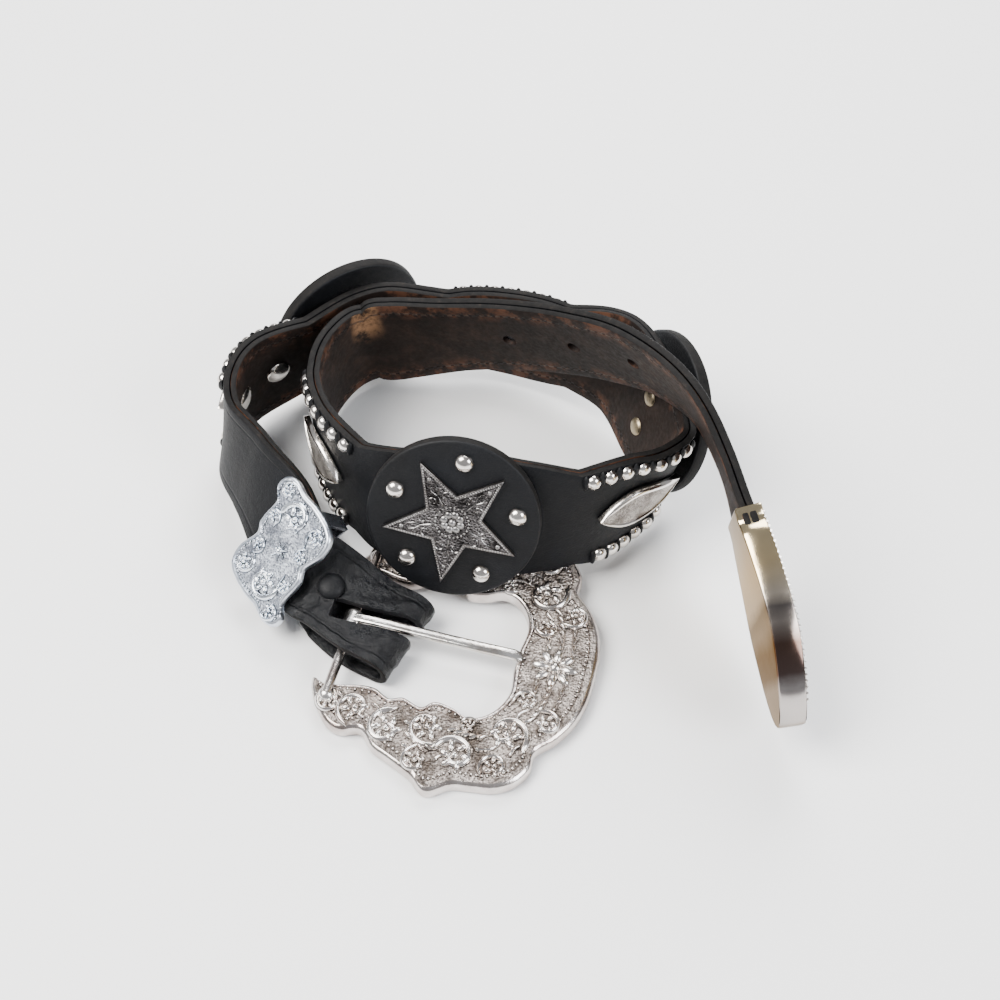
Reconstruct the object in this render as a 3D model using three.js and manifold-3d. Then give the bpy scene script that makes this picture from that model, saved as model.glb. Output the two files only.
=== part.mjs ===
// A concho belt curled on its edge, with its buckle lying open on the floor in front of it.
// Millimetres, +Z up. The strap is swept along its route, and all that sits on the strap is placed
// by its distance along the route, across the strap and out from the joint of its two layers.
import * as THREE from 'three';
import { mergeVertices } from 'three/addons/utils/BufferGeometryUtils.js';
import Module from 'manifold-3d';

const wasm = await Module();
wasm.setup();

// Driving dimensions
const GAP = 0.3;
const LEATHER = 2;
const LINING = 1.8;
const CREST = 19;
const NECK = 16.2;
const BILLET = 15.5;
const DISC_RADIUS = 25.4;
const DISC_THICK = 4;
const STAR_RADIUS = 20.7;
const STAR_THICK = 1.4;
const SPOT_RADIUS = 2.7;
const SPOT_CIRCLE = 18.9;
const LOZENGE = { long: 29, wide: 15, thick: 1.6, rim: 1.7, sunk: 0.5 };
const LOZENGE_SCALLOP = 40;
const STUD_RADIUS = 2.1;
const STUD_HIGH = 1.7;
const STUDS_IN_ROW = 7;
const STUD_PITCH = 5.1;
const SEAT = 0.8;
const LOOP = { half: 1.5, long: 5.2, high: 1.2 };
const EDGE_INSET = 3;
const HOLE = { first: 504, apart: 24.8, count: 3, radius: 2.2 };
const TIP_LONG = 60;
const TIP_WALL = 1.2;
const TAB_HALF = 13.4;
const FOLD_RADIUS = 3.4;
const FLAP_LONG = 25;
const POCKET = { from: 20, to: 26 };
const LINING_START = 45;
const SLOT = { half: 3.1, back: 6 };
const CAP = { along: 23, radius: 4, high: 1.6, lift: 0.6 };
const BAR = { radius: 1.4, height: 5.85, long: 50 };
const BUCKLE = { x: -42.8, y: -29.8, height: 1.75, heading: -14.5, tilt: 2, middle: -0.3 };
const TONGUE = { long: 49.5, wide: 3.2, thick: 2.2, wall: 1.2 };

// The strap's middle line from the buckle's fold to the end of the tip: its place on the floor, the
// height of its middle, how far the top edge leans outwards in degrees, and what it holds there.
const ROUTE = [
  { x: -30.5, y: -34.9, rise: 9.7, lean: -87.5, holds: '' },
  { x: -39, y: -29.9, rise: 9.8, lean: -87.5, holds: '' },
  { x: -47.5, y: -23.2, rise: 11.6, lean: -82, holds: '' },
  { x: -59.5, y: -13.5, rise: 14.2, lean: -56, holds: 'keeper' },
  { x: -66.5, y: 2.5, rise: 17.8, lean: -44, holds: '' },
  { x: -75.5, y: 16.5, rise: 20.5, lean: -24, holds: '' },
  { x: -83, y: 28.5, rise: 23, lean: -12, holds: '' },
  { x: -83, y: 39.5, rise: 24.8, lean: -7, holds: '' },
  { x: -78, y: 51, rise: 25, lean: -8, holds: 'lozenge' },
  { x: -61, y: 63.5, rise: 25, lean: -8, holds: '' },
  { x: -47, y: 72.8, rise: 25, lean: -7, holds: 'disc' },
  { x: -36.5, y: 76, rise: 25, lean: -6, holds: '' },
  { x: -22.5, y: 75.5, rise: 25, lean: -6, holds: '' },
  { x: -10.5, y: 75, rise: 25, lean: -6, holds: '' },
  { x: 3, y: 72.5, rise: 25, lean: -5, holds: 'lozenge' },
  { x: 22.5, y: 65.5, rise: 25.3, lean: 3, holds: '' },
  { x: 38, y: 56, rise: 26.3, lean: 14, holds: '' },
  { x: 46, y: 36, rise: 26.5, lean: 17, holds: 'disc' },
  { x: 49.6, y: 23.5, rise: 26, lean: 18, holds: '' },
  { x: 51, y: 15.6, rise: 25.2, lean: 16, holds: '' },
  { x: 47.4, y: 9.4, rise: 24.8, lean: 11, holds: '' },
  { x: 40, y: 4, rise: 24, lean: 4, holds: 'lozenge' },
  { x: 25.5, y: -4.5, rise: 24.8, lean: -10, holds: '' },
  { x: 7, y: -7.2, rise: 27, lean: -20.5, holds: '' },
  { x: -13, y: -4.8, rise: 28.4, lean: -22, holds: 'disc' },
  { x: -30.5, y: -2.2, rise: 27.6, lean: -20.5, holds: '' },
  { x: -42, y: 6, rise: 26.5, lean: -9, holds: '' },
  { x: -52.5, y: 21.5, rise: 26.3, lean: -1, holds: 'lozenge' },
  { x: -56.5, y: 41.5, rise: 25.5, lean: 0, holds: '' },
  { x: -52.5, y: 57, rise: 25.2, lean: -4, holds: '' },
  { x: -45, y: 65.5, rise: 26.2, lean: -5, holds: '' },
  { x: -32.5, y: 66.5, rise: 28, lean: -4, holds: '' },
  { x: -17.5, y: 63.8, rise: 32, lean: -7, holds: '' },
  { x: -1.5, y: 59, rise: 37, lean: -11, holds: '' },
  { x: 12.5, y: 52, rise: 42.5, lean: -15, holds: '' },
  { x: 27.5, y: 41, rise: 49.8, lean: -19, holds: '' },
  { x: 41.5, y: 27, rise: 57, lean: -22, holds: '' },
  { x: 55, y: 9.5, rise: 58.5, lean: -23, holds: '' },
  { x: 63, y: -4.5, rise: 50.5, lean: -20, holds: '' },
  { x: 68, y: -18.5, rise: 41.5, lean: -13, holds: '' },
  { x: 75, y: -48.5, rise: 27, lean: -5, holds: '' },
  { x: 78.5, y: -71, rise: 16, lean: -4, holds: '' },
];

const COLOURS = {
  leather: { color: 0x1b1d22, roughness: 0.45, metalness: 0 },
  lining: { color: 0x3d302b, roughness: 0.7, metalness: 0 },
  silver: { color: 0xc9c7c2, roughness: 0.28, metalness: 1 },
  antiqued: { color: 0x6f6b66, roughness: 0.45, metalness: 1 },
  nickel: { color: 0xd9d2c6, roughness: 0.22, metalness: 1 },
  brass: { color: 0xc9b27a, roughness: 0.35, metalness: 1 },
};

const belt = new THREE.Group();

function add(name, solid, finish) {
  const mesh = new THREE.Mesh(toGeometry(solid), new THREE.MeshStandardMaterial(COLOURS[finish]));
  mesh.name = name;
  belt.add(mesh);
  return mesh;
}

function toSolid(geometry) {
  const bare = new THREE.BufferGeometry();
  bare.setAttribute('position', geometry.getAttribute('position').clone());
  if (geometry.index) bare.setIndex(geometry.index);
  const merged = mergeVertices(bare, 1e-4);
  return new wasm.Manifold(new wasm.Mesh({
    numProp: 3,
    vertProperties: new Float32Array(merged.getAttribute('position').array),
    triVerts: new Uint32Array(merged.index.array),
  }));
}

function toGeometry(solid) {
  const { vertProperties, triVerts } = solid.getMesh();
  const geometry = new THREE.BufferGeometry();
  geometry.setAttribute('position', new THREE.BufferAttribute(new Float32Array(vertProperties), 3));
  geometry.setIndex(new THREE.BufferAttribute(new Uint32Array(triVerts), 1));
  return geometry;
}

function placed(geometry, matrix) {
  return toSolid(geometry.clone().applyMatrix4(matrix));
}

// The route: a smooth curve through the stations, with the lean on a curve of its own
const route = new THREE.CatmullRomCurve3(ROUTE.map((r) => new THREE.Vector3(r.x, r.y, r.rise)));
route.arcLengthDivisions = 1200;
const leans = new THREE.CatmullRomCurve3(ROUTE.map((r, i) => new THREE.Vector3(r.lean, 5 * i, 0)));
const LENGTH = route.getLength();
const UP = new THREE.Vector3(0, 0, 1);

function frameOnRoute(s) {
  const u = THREE.MathUtils.clamp(s / LENGTH, 0, 1);
  const t = route.getUtoTmapping(u);
  const point = route.getPoint(t);
  const along = route.getTangent(t);
  const side = UP.clone().cross(along).normalize();
  const up = along.clone().cross(side);
  const lean = THREE.MathUtils.degToRad(leans.getPoint(t).x);
  const across = up.clone().multiplyScalar(Math.cos(lean)).addScaledVector(side, Math.sin(lean));
  const out = side.clone().multiplyScalar(Math.cos(lean)).addScaledVector(up, -Math.sin(lean));
  return { point, along, across, out };
}

// Before the route's start the strap turns down round the fold and runs back beneath itself, with
// a pocket for the bar that closes towards the cap rivet.
const foldStart = frameOnRoute(0);
const FOLD_LONG = Math.PI * FOLD_RADIUS;

function frameAt(s) {
  if (s >= 0) return frameOnRoute(s);
  if (s < -FOLD_LONG) {
    const above = frameOnRoute(-FOLD_LONG - s);
    const closing = THREE.MathUtils.smoothstep(-FOLD_LONG - s, POCKET.from, POCKET.to);
    above.point.addScaledVector(above.out, -2 * FOLD_RADIUS * (1 - closing));
    above.along.negate();
    above.out.negate();
    return above;
  }
  const turn = -s / FOLD_RADIUS;
  const { point, along, across, out } = foldStart;
  const drop = FOLD_RADIUS * (1 - Math.cos(turn));
  return {
    point: point.clone().addScaledVector(along, -FOLD_RADIUS * Math.sin(turn)).addScaledVector(out, -drop),
    along: along.clone().multiplyScalar(Math.cos(turn)).addScaledVector(out, Math.sin(turn)),
    across,
    out: out.clone().multiplyScalar(Math.cos(turn)).addScaledVector(along, -Math.sin(turn)),
  };
}

function at(s, v, w) {
  const f = frameAt(s);
  return f.point.clone().addScaledVector(f.across, v).addScaledVector(f.out, w);
}

function stationOf(row) {
  const t = row / (ROUTE.length - 1);
  const lengths = route.getLengths();
  return lengths[Math.round(t * (lengths.length - 1))];
}

const conchos = ROUTE.map((r, i) => ({ kind: r.holds, s: stationOf(i) })).filter((c) => c.kind);
const discs = conchos.filter((c) => c.kind === 'disc').map((c) => c.s);
const lozenges = conchos.filter((c) => c.kind === 'lozenge').map((c) => c.s);

// Half the strap's width: shallow arcs that meet in notches beside each lozenge, plain at both ends
const notches = lozenges.flatMap((s) => [s - LOZENGE_SCALLOP / 2, s + LOZENGE_SCALLOP / 2]);
notches.push(notches[notches.length - 1] + 32);
const BULGE_END = notches[notches.length - 1] + 30;
const STRAP_END = LENGTH - TIP_LONG + 9;

function halfWidth(s) {
  if (s < notches[0] - 24) return TAB_HALF;
  if (s < notches[0]) return THREE.MathUtils.lerp(TAB_HALF, NECK, (s - notches[0] + 24) / 24);
  const i = notches.findIndex((n, k) => s >= n && s < notches[k + 1]);
  if (i >= 0) {
    const part = (s - notches[i]) / (notches[i + 1] - notches[i]);
    return NECK + (CREST - NECK) * 4 * part * (1 - part);
  }
  const last = notches[notches.length - 1];
  if (s > BULGE_END) return BILLET;
  const part = (s - last) / (BULGE_END - last);
  return NECK + (BILLET - NECK) * part + 2.2 * Math.sin(Math.PI * Math.sqrt(part)) * (1 - part);
}

// A band of the strap from one distance to another: its section is a rectangle between two widths
// and two depths, with extra points across its outer face, and every station's points join the
// next station's. Both wide faces are split along the same diagonal, so that twisted layers fit.
function band(stations, halfOf, inner, outer, columns = 1) {
  const positions = [];
  const index = [];
  stations.forEach((s) => {
    const half = halfOf(s);
    const ring = [[half, inner]];
    for (let c = 0; c <= columns; c += 1) ring.push([half * (1 - (2 * c) / columns), outer]);
    ring.push([-half, inner]);
    ring.forEach(([v, w]) => positions.push(...at(s, v, w).toArray()));
  });
  const round = columns + 3;
  for (let k = 0; k < stations.length - 1; k += 1) {
    for (let c = 0; c < round; c += 1) {
      const a = round * k + c;
      const b = round * k + ((c + 1) % round);
      if (c > 0 && c <= columns) index.push(a, a + round, b + round, a, b + round, b);
      else index.push(a, a + round, b, b, a + round, b + round);
    }
  }
  const end = round * (stations.length - 1);
  for (let c = 1; c < round - 1; c += 1) index.push(0, c, c + 1, end, end + c + 1, end + c);
  const geometry = new THREE.BufferGeometry();
  geometry.setAttribute('position', new THREE.Float32BufferAttribute(positions, 3));
  geometry.setIndex(index);
  return toSolid(geometry);
}

function steps(from, to, size) {
  const count = Math.max(1, Math.ceil((to - from) / size));
  return Array.from({ length: count + 1 }, (_, k) => from + ((to - from) * k) / count);
}

// The buckle's own frame: X from the bar to its far side, Y along the bar
const tilted = new THREE.Matrix4().makeRotationX(THREE.MathUtils.degToRad(BUCKLE.tilt));
const buckle = new THREE.Matrix4().makeRotationZ(THREE.MathUtils.degToRad(BUCKLE.heading));
buckle.multiply(tilted).setPosition(BUCKLE.x, BUCKLE.y, BUCKLE.height);

// Strap: the leather with its fold and slot, and the lining inside it. Both are cut at the same
// stations, so that their faces stay one gap apart where the strap twists.
const STATION = 4.6;
const bounds = [LINING_START, ...notches, STRAP_END];
const strapSteps = bounds.slice(1).flatMap((end, k) => steps(bounds[k], end, STATION).slice(0, -1));
strapSteps.push(STRAP_END);
const flapEnd = -FOLD_LONG - FLAP_LONG;
const foldSteps = steps(-FOLD_LONG, 0, FOLD_LONG / 8);
const flapSteps = steps(flapEnd, -FOLD_LONG, 3.6).slice(0, -1);
const tabSteps = steps(0, LINING_START, STATION).slice(1, -1);
const leatherSteps = [...flapSteps, ...foldSteps, ...tabSteps, ...strapSteps];
const leather = band(leatherSteps, halfWidth, GAP / 2, GAP / 2 + LEATHER, 4);
const reach = 26;
const slotBox = new THREE.BoxGeometry(reach + SLOT.back, 2 * SLOT.half, 30);
slotBox.translate((reach - SLOT.back) / 2, 0, 8);
const slot = placed(slotBox, buckle);
const lining = band(strapSteps, halfWidth, -GAP / 2 - LINING, -GAP / 2);
const punch = toSolid(new THREE.CylinderGeometry(HOLE.radius, HOLE.radius, 12, 12).rotateX(Math.PI / 2));
const holeSeats = Array.from({ length: HOLE.count }, (_, k) => seat(HOLE.first + k * HOLE.apart, 0, 0));
const punches = holeSeats.map((place) => placed(toGeometry(punch), place));
const punched = (layer) => punches.reduce((left, hole) => left.subtract(hole), layer);
add('strap_leather', punched(leather.subtract(slot)), 'leather');
add('strap_lining', punched(lining), 'lining');

// A flat piece's own frame at a place on the strap: X along it, Y across it, Z out of its face
function seat(s, v, w) {
  const f = frameAt(s);
  const matrix = new THREE.Matrix4().makeBasis(f.along.clone().negate(), f.across, f.out);
  return matrix.setPosition(at(s, v, w));
}

function dome(radius, high, sides, rings) {
  const profile = [new THREE.Vector2(0, 0), new THREE.Vector2(radius, 0)];
  for (let k = 1; k < rings; k += 1) {
    const a = (k / rings) * (Math.PI / 2);
    profile.push(new THREE.Vector2(radius * Math.cos(a), high * Math.sin(a)));
  }
  profile.push(new THREE.Vector2(0, high));
  return new THREE.LatheGeometry(profile, sides).rotateX(Math.PI / 2);
}

function disc(radius, thick, edge, sides) {
  const profile = [
    new THREE.Vector2(0, 0),
    new THREE.Vector2(radius - edge, 0),
    new THREE.Vector2(radius, edge),
    new THREE.Vector2(radius, thick - 1.5 * edge),
    new THREE.Vector2(radius - 1.5 * edge, thick),
    new THREE.Vector2(0, thick),
  ];
  return new THREE.LatheGeometry(profile, sides).rotateX(Math.PI / 2);
}

// A star plate: five arms that rise from their edges to a ridge, with a round boss in the middle
function star(radius, thick) {
  const notch = radius * 0.42;
  const shape = new THREE.Shape();
  for (let k = 0; k < 10; k += 1) {
    const r = k % 2 ? notch : radius;
    const a = (k * Math.PI) / 5 + Math.PI / 2;
    if (k) shape.lineTo(r * Math.cos(a), r * Math.sin(a));
    else shape.moveTo(r * Math.cos(a), r * Math.sin(a));
  }
  shape.closePath();
  const bevel = { bevelEnabled: true, bevelThickness: 0.4, bevelSize: 0.35, bevelSegments: 1, bevelOffset: -0.35 };
  const plate = toSolid(
    new THREE.ExtrudeGeometry(shape, { depth: thick - 0.8, ...bevel }).translate(0, 0, 0.4));
  const boss = toSolid(dome(radius * 0.3, 1.1, 14, 2).translate(0, 0, thick - 0.2));
  return plate.add(boss);
}

const STAR_ROLL = 29;
const DISC_TURN = [5, 0, 0];
const DISC_LIFT = [0.5, 0, 0];
discs.forEach((s, i) => {
  const n = i + 1;
  const base = GAP / 2 + LEATHER + SEAT + 0.2 + DISC_LIFT[i];
  const face = base + DISC_THICK;
  const turn = new THREE.Matrix4().makeRotationY(THREE.MathUtils.degToRad(DISC_TURN[i]));
  const turned = seat(s, 0, 0).multiply(turn);
  const up = (z) => turned.clone().multiply(new THREE.Matrix4().makeTranslation(0, 0, z));
  add(`concho_disc_${n}`, placed(disc(DISC_RADIUS, DISC_THICK, 0.9, 36), up(base)), 'leather');
  const roll = new THREE.Matrix4().makeRotationZ(THREE.MathUtils.degToRad(STAR_ROLL));
  const starSeat = up(face + GAP).multiply(roll);
  const plate = star(STAR_RADIUS, STAR_THICK);
  add(`concho_star_${n}`, placed(toGeometry(plate), starSeat), 'antiqued');
  for (let k = 0; k < 5; k += 1) {
    const a = ((k + 0.5) * 2 * Math.PI) / 5 + Math.PI / 2;
    const place = new THREE.Matrix4().makeTranslation(SPOT_CIRCLE * Math.cos(a), SPOT_CIRCLE * Math.sin(a), 0);
    const spot = placed(dome(SPOT_RADIUS, 1.8, 12, 2), starSeat.clone().multiply(place));
    add(`spot_${n}_${k + 1}`, spot, 'nickel');
  }
});

// A lozenge plate bent to the strap: two arcs that meet in points, with a sunk face inside its rim
function lozengePlate(s) {
  const base = GAP / 2 + LEATHER + SEAT;
  const half = LOZENGE.long / 2;
  const layer = (inset, from, to) => {
    const reach = half - 1.8 * inset;
    const halfOf = (p) => Math.max((LOZENGE.wide / 2 - inset) * (1 - ((p - s) / reach) ** 2) ** 0.9, 0.4);
    return band(steps(s - 0.97 * reach, s + 0.97 * reach, 3.4), halfOf, from, to);
  };
  const sunk = layer(LOZENGE.rim, base + LOZENGE.thick - LOZENGE.sunk, base + LOZENGE.thick + 1);
  return layer(0, base, base + LOZENGE.thick).subtract(sunk);
}

// A row of nailheads along one edge of a scallop, with a raised loop of lace between each two
function studRow(s, side) {
  const base = GAP / 2 + LEATHER + SEAT;
  const across = (p) => side * (halfWidth(p) - EDGE_INSET);
  // The pitch is measured on the strap's outer face, which stretches where the strap bends.
  const place = (k) => {
    const distance = (k - (STUDS_IN_ROW - 1) / 2) * STUD_PITCH;
    let p = s;
    for (let left = Math.abs(distance); left > 0;) {
      const next = p + 0.1 * Math.sign(distance);
      left -= at(p, across(p), base).distanceTo(at(next, across(next), base));
      p = next;
    }
    return p;
  };
  const onEdge = (p) => seat(p, across(p), base);
  const section = new THREE.Shape();
  section.moveTo(-LOOP.half, 0);
  section.lineTo(LOOP.half, 0);
  section.lineTo(LOOP.half * 0.7, LOOP.high * 0.8);
  section.lineTo(0, LOOP.high);
  section.lineTo(-LOOP.half * 0.7, LOOP.high * 0.8);
  section.closePath();
  const loop = new THREE.ExtrudeGeometry(section, { depth: LOOP.long, bevelEnabled: false });
  loop.translate(0, 0, -LOOP.long / 2).rotateX(Math.PI / 2);
  const parts = [];
  for (let k = 0; k < STUDS_IN_ROW; k += 1) {
    parts.push(placed(dome(STUD_RADIUS, STUD_HIGH, 10, 2), onEdge(place(k))));
  }
  for (let k = 0.5; k < STUDS_IN_ROW - 1; k += 1) {
    parts.push(placed(loop, onEdge(place(k))));
  }
  return parts.reduce((whole, part) => whole.add(part));
}

lozenges.forEach((s, i) => {
  const n = i + 1;
  add(`lozenge_${n}`, lozengePlate(s), 'silver');
  add(`stud_row_${n}_upper`, studRow(s, 1), 'nickel');
  add(`stud_row_${n}_lower`, studRow(s, -1), 'nickel');
});

// Rivet backs, on the lining behind the conchos
function rivetBack(name, s, v, radius, finish) {
  const under = -GAP / 2 - LINING - (finish === 'brass' ? GAP + 0.2 : SEAT + 0.1);
  const turned = seat(s, v, under).multiply(new THREE.Matrix4().makeRotationX(Math.PI));
  add(name, placed(dome(radius, 1, 12, 2), turned), finish);
}

const BRASS_RIVET = { radius: 2.9, apart: 6.3 };
const SILVER_RIVET = { radius: 4.2, apart: 8.3 };
discs.forEach((s, i) => {
  rivetBack(`rivet_disc_${i + 1}_upper`, s, BRASS_RIVET.apart, BRASS_RIVET.radius, 'brass');
  rivetBack(`rivet_disc_${i + 1}_lower`, s, -BRASS_RIVET.apart, BRASS_RIVET.radius, 'brass');
});
lozenges.forEach((s, i) => {
  rivetBack(`rivet_lozenge_${i + 1}_first`, s - SILVER_RIVET.apart, 0, SILVER_RIVET.radius, 'silver');
  rivetBack(`rivet_lozenge_${i + 1}_second`, s + SILVER_RIVET.apart, 0, SILVER_RIVET.radius, 'silver');
});
const capBase = GAP / 2 + LEATHER + GAP + CAP.lift;
add('cap_rivet', placed(dome(CAP.radius, CAP.high, 20, 3), seat(CAP.along, 0, capBase)), 'leather');

// Buckle: a frame whose arms end in horns beside the bar. X runs from the bar to the far side and
// Y along the bar. The outlines are half of it, from the bar to the middle of the far side.
const OUTER = [
  { x: -6, y: 19.5 }, { x: -5.2, y: 23 }, { x: -2, y: 28 }, { x: 2.2, y: 32.5 }, { x: 6.6, y: 34 },
  { x: 12, y: 32.5 }, { x: 17, y: 37 }, { x: 21.5, y: 39 }, { x: 29, y: 42.5 }, { x: 35, y: 46.5 },
  { x: 41.5, y: 42.8 }, { x: 46.6, y: 42 }, { x: 53, y: 41 }, { x: 58, y: 38 }, { x: 61.2, y: 33 },
  { x: 61.5, y: 27.5 }, { x: 66, y: 22.5 }, { x: 69.8, y: 16 }, { x: 71.8, y: 8.5 }, { x: 72.2, y: 2 },
];
const INNER = [
  { x: -1, y: 21.5 }, { x: 3.5, y: 20 }, { x: 8.5, y: 18.8 }, { x: 12.6, y: 18.8 }, { x: 17.5, y: 21 },
  { x: 21, y: 19.8 }, { x: 27, y: 21.5 }, { x: 30, y: 19 }, { x: 35, y: 19.5 }, { x: 40, y: 21.5 },
  { x: 44, y: 20.5 }, { x: 47.8, y: 16.8 }, { x: 50, y: 11 }, { x: 49.3, y: 3 },
];
const FRAME_THICK = 4.4;
const FRAME_BASE = 0.2;
const RELIEF = [
  { x: 60, y: 0, radius: 7 }, { x: 50, y: 33, radius: 6.2 }, { x: 31, y: 34, radius: 6.5 },
  { x: 12, y: 28, radius: 5 }, { x: -1, y: 26, radius: 3.6 },
];
const RELIEF_HIGH = 0.9;

function mirroredOutline(outer, inner) {
  const turned = (rows) => rows.map((r) => ({ x: r.x, y: -r.y }));
  const round = [...outer, ...turned(outer).reverse(), ...turned(inner), ...inner.toReversed()];
  const shape = new THREE.Shape();
  round.forEach((r, k) => (k ? shape.lineTo(r.x, r.y) : shape.moveTo(r.x, r.y)));
  shape.closePath();
  return shape;
}

function buckleFrame() {
  const bevel = { bevelEnabled: true, bevelThickness: 1.2, bevelSize: 1.4, bevelSegments: 2, bevelOffset: -1.4 };
  const depth = FRAME_THICK - 2 * bevel.bevelThickness;
  const plate = new THREE.ExtrudeGeometry(mirroredOutline(OUTER, INNER), { depth, ...bevel });
  plate.translate(0, BUCKLE.middle, FRAME_BASE + bevel.bevelThickness);
  const bar = new THREE.CylinderGeometry(BAR.radius, BAR.radius, BAR.long, 12);
  let frame = toSolid(plate).add(toSolid(bar.translate(0, BUCKLE.middle, BAR.height)));
  RELIEF.forEach((r) => {
    const sides = r.y ? [1, -1] : [1];
    sides.forEach((side) => {
      const boss = dome(r.radius, RELIEF_HIGH, 14, 2);
      boss.translate(r.x, side * r.y + BUCKLE.middle, FRAME_BASE + FRAME_THICK - 0.1);
      frame = frame.add(toSolid(boss));
    });
  });
  return frame;
}

add('buckle_frame', placed(toGeometry(buckleFrame()), buckle), 'silver');

// Tongue: an eye round the bar and a blade whose end lies on the far side of the frame
function tongue() {
  const eyeInner = BAR.radius + GAP;
  const eyeOuter = eyeInner + TONGUE.wall;
  const eye = toSolid(new THREE.CylinderGeometry(eyeOuter, eyeOuter, TONGUE.wide + 1, 16));
  const hole = toSolid(new THREE.CylinderGeometry(eyeInner, eyeInner, TONGUE.wide + 3, 16));
  const rise = FRAME_BASE + FRAME_THICK + GAP - BAR.height;
  const top = rise + TONGUE.thick;
  const profile = [
    { x: 0, z: 0.6 }, { x: 0, z: eyeOuter }, { x: 7, z: eyeOuter }, { x: 0.6 * TONGUE.long, z: top + 0.4 },
    { x: TONGUE.long - 1, z: top }, { x: TONGUE.long + 1.5, z: top - 1.2 }, { x: TONGUE.long + 1.5, z: rise },
    { x: TONGUE.long - 6, z: rise }, { x: 8, z: 0.6 },
  ];
  const shape = new THREE.Shape();
  profile.forEach((r, k) => (k ? shape.lineTo(r.x, r.z) : shape.moveTo(r.x, r.z)));
  shape.closePath();
  const blade = new THREE.ExtrudeGeometry(shape, { depth: TONGUE.wide, bevelEnabled: false });
  blade.translate(0, 0, -TONGUE.wide / 2).rotateX(Math.PI / 2);
  return eye.add(toSolid(blade)).subtract(hole).translate([0, 0, BAR.height]);
}

add('buckle_tongue', placed(toGeometry(tongue()), buckle), 'silver');

// Keeper: an ornate plate over the strap with a plain loop beneath it, one soldered piece. Its rows
// are half its outline, and the other half is the same turned half round.
const KEEPER_AT = conchos.find((c) => c.kind === 'keeper').s;
const KEEPER_TURN = { lean: 3, along: 3 };
const KEEPER = [
  { x: -13, y: 1 }, { x: -14.3, y: 7.5 }, { x: -17.8, y: 9.5 }, { x: -18, y: 13 }, { x: -14.5, y: 15.5 },
  { x: -9, y: 15.8 }, { x: -3.5, y: 17.2 }, { x: 4.5, y: 17.6 }, { x: 8, y: 16.3 }, { x: 10.4, y: 11.5 },
  { x: 10, y: 4 }, { x: 12.2, y: 1.5 },
];
const PLATE = { thick: 1.8, top: 7.2 };
const KEEPER_LOOP = { half: 16.1, wall: 1, wide: 5, under: -4 };

function keeper() {
  const shape = new THREE.Shape();
  const round = [...KEEPER, ...KEEPER.map((r) => ({ x: -r.x, y: -r.y }))];
  round.forEach((r, k) => (k ? shape.lineTo(r.x, r.y) : shape.moveTo(r.x, r.y)));
  shape.closePath();
  const bevel = { bevelEnabled: true, bevelThickness: 0.6, bevelSize: 0.8, bevelSegments: 1, bevelOffset: -0.8 };
  const plate = new THREE.ExtrudeGeometry(shape, { depth: PLATE.thick - 1.2, ...bevel });
  plate.translate(0, 0, PLATE.top - PLATE.thick + 0.6);
  const boss = toSolid(dome(5.5, 1.1, 14, 2).translate(-3, 7, PLATE.top - 0.1));
  const twin = toSolid(dome(5.5, 1.1, 14, 2).translate(3, -7, PLATE.top - 0.1));
  const ceiling = PLATE.top - PLATE.thick;
  const { half, wall, wide, under } = KEEPER_LOOP;
  const outer = new THREE.BoxGeometry(wide, 2 * (half + wall), ceiling + 0.6 - under + wall);
  outer.translate(0, 0, (ceiling + 0.6 + under - wall) / 2);
  const hollow = new THREE.BoxGeometry(wide + 2, 2 * half, ceiling - under);
  hollow.translate(0, 0, (ceiling + under) / 2);
  return toSolid(outer).subtract(toSolid(hollow)).add(toSolid(plate)).add(boss).add(twin);
}

const keeperTurn = new THREE.Matrix4().makeRotationX(THREE.MathUtils.degToRad(KEEPER_TURN.lean));
const keeperSeat = seat(KEEPER_AT + KEEPER_TURN.along, 0, 0).multiply(keeperTurn);
add('keeper', placed(toGeometry(keeper()), keeperSeat), 'silver');

// Tip: a plate in front and a plain plate behind, closed round the end, with the strap held between
const TIP = [
  { x: 0, half: 16.5 }, { x: 4, half: 15 }, { x: 9, half: 16.8 }, { x: 20, half: 17.2 }, { x: 32, half: 16.8 },
  { x: 42, half: 15.2 }, { x: 50, half: 12 }, { x: 56, half: 7.5 }, { x: 60, half: 2 },
];

function tip() {
  const start = LENGTH - TIP_LONG;
  const halfOf = (s) => {
    const x = THREE.MathUtils.clamp(s - start, 0, TIP_LONG);
    const i = Math.min(TIP.findIndex((r, k) => k === TIP.length - 1 || x <= TIP[k + 1].x), TIP.length - 2);
    return THREE.MathUtils.lerp(TIP[i].half, TIP[i + 1].half, (x - TIP[i].x) / (TIP[i + 1].x - TIP[i].x));
  };
  const stations = TIP.map((r) => start + r.x);
  const outer = GAP / 2 + LEATHER + GAP;
  const inner = -GAP / 2 - LINING - GAP;
  const body = band(stations, halfOf, inner - TIP_WALL, outer + TIP_WALL + 0.6);
  const mouth = band([start - 1, start + 5, STRAP_END + GAP], () => BILLET + 3, inner, outer);
  return body.subtract(mouth);
}

add('strap_tip', tip(), 'silver');

// The model's origin is the middle of its box's underside.
const box = new THREE.Box3().setFromObject(belt);
const middle = box.getCenter(new THREE.Vector3());
belt.children.forEach((mesh) => mesh.geometry.translate(-middle.x, -middle.y, -box.min.z));

export default belt;
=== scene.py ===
import bisect
import math
import bmesh
import bpy
from mathutils import Matrix, Vector


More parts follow.
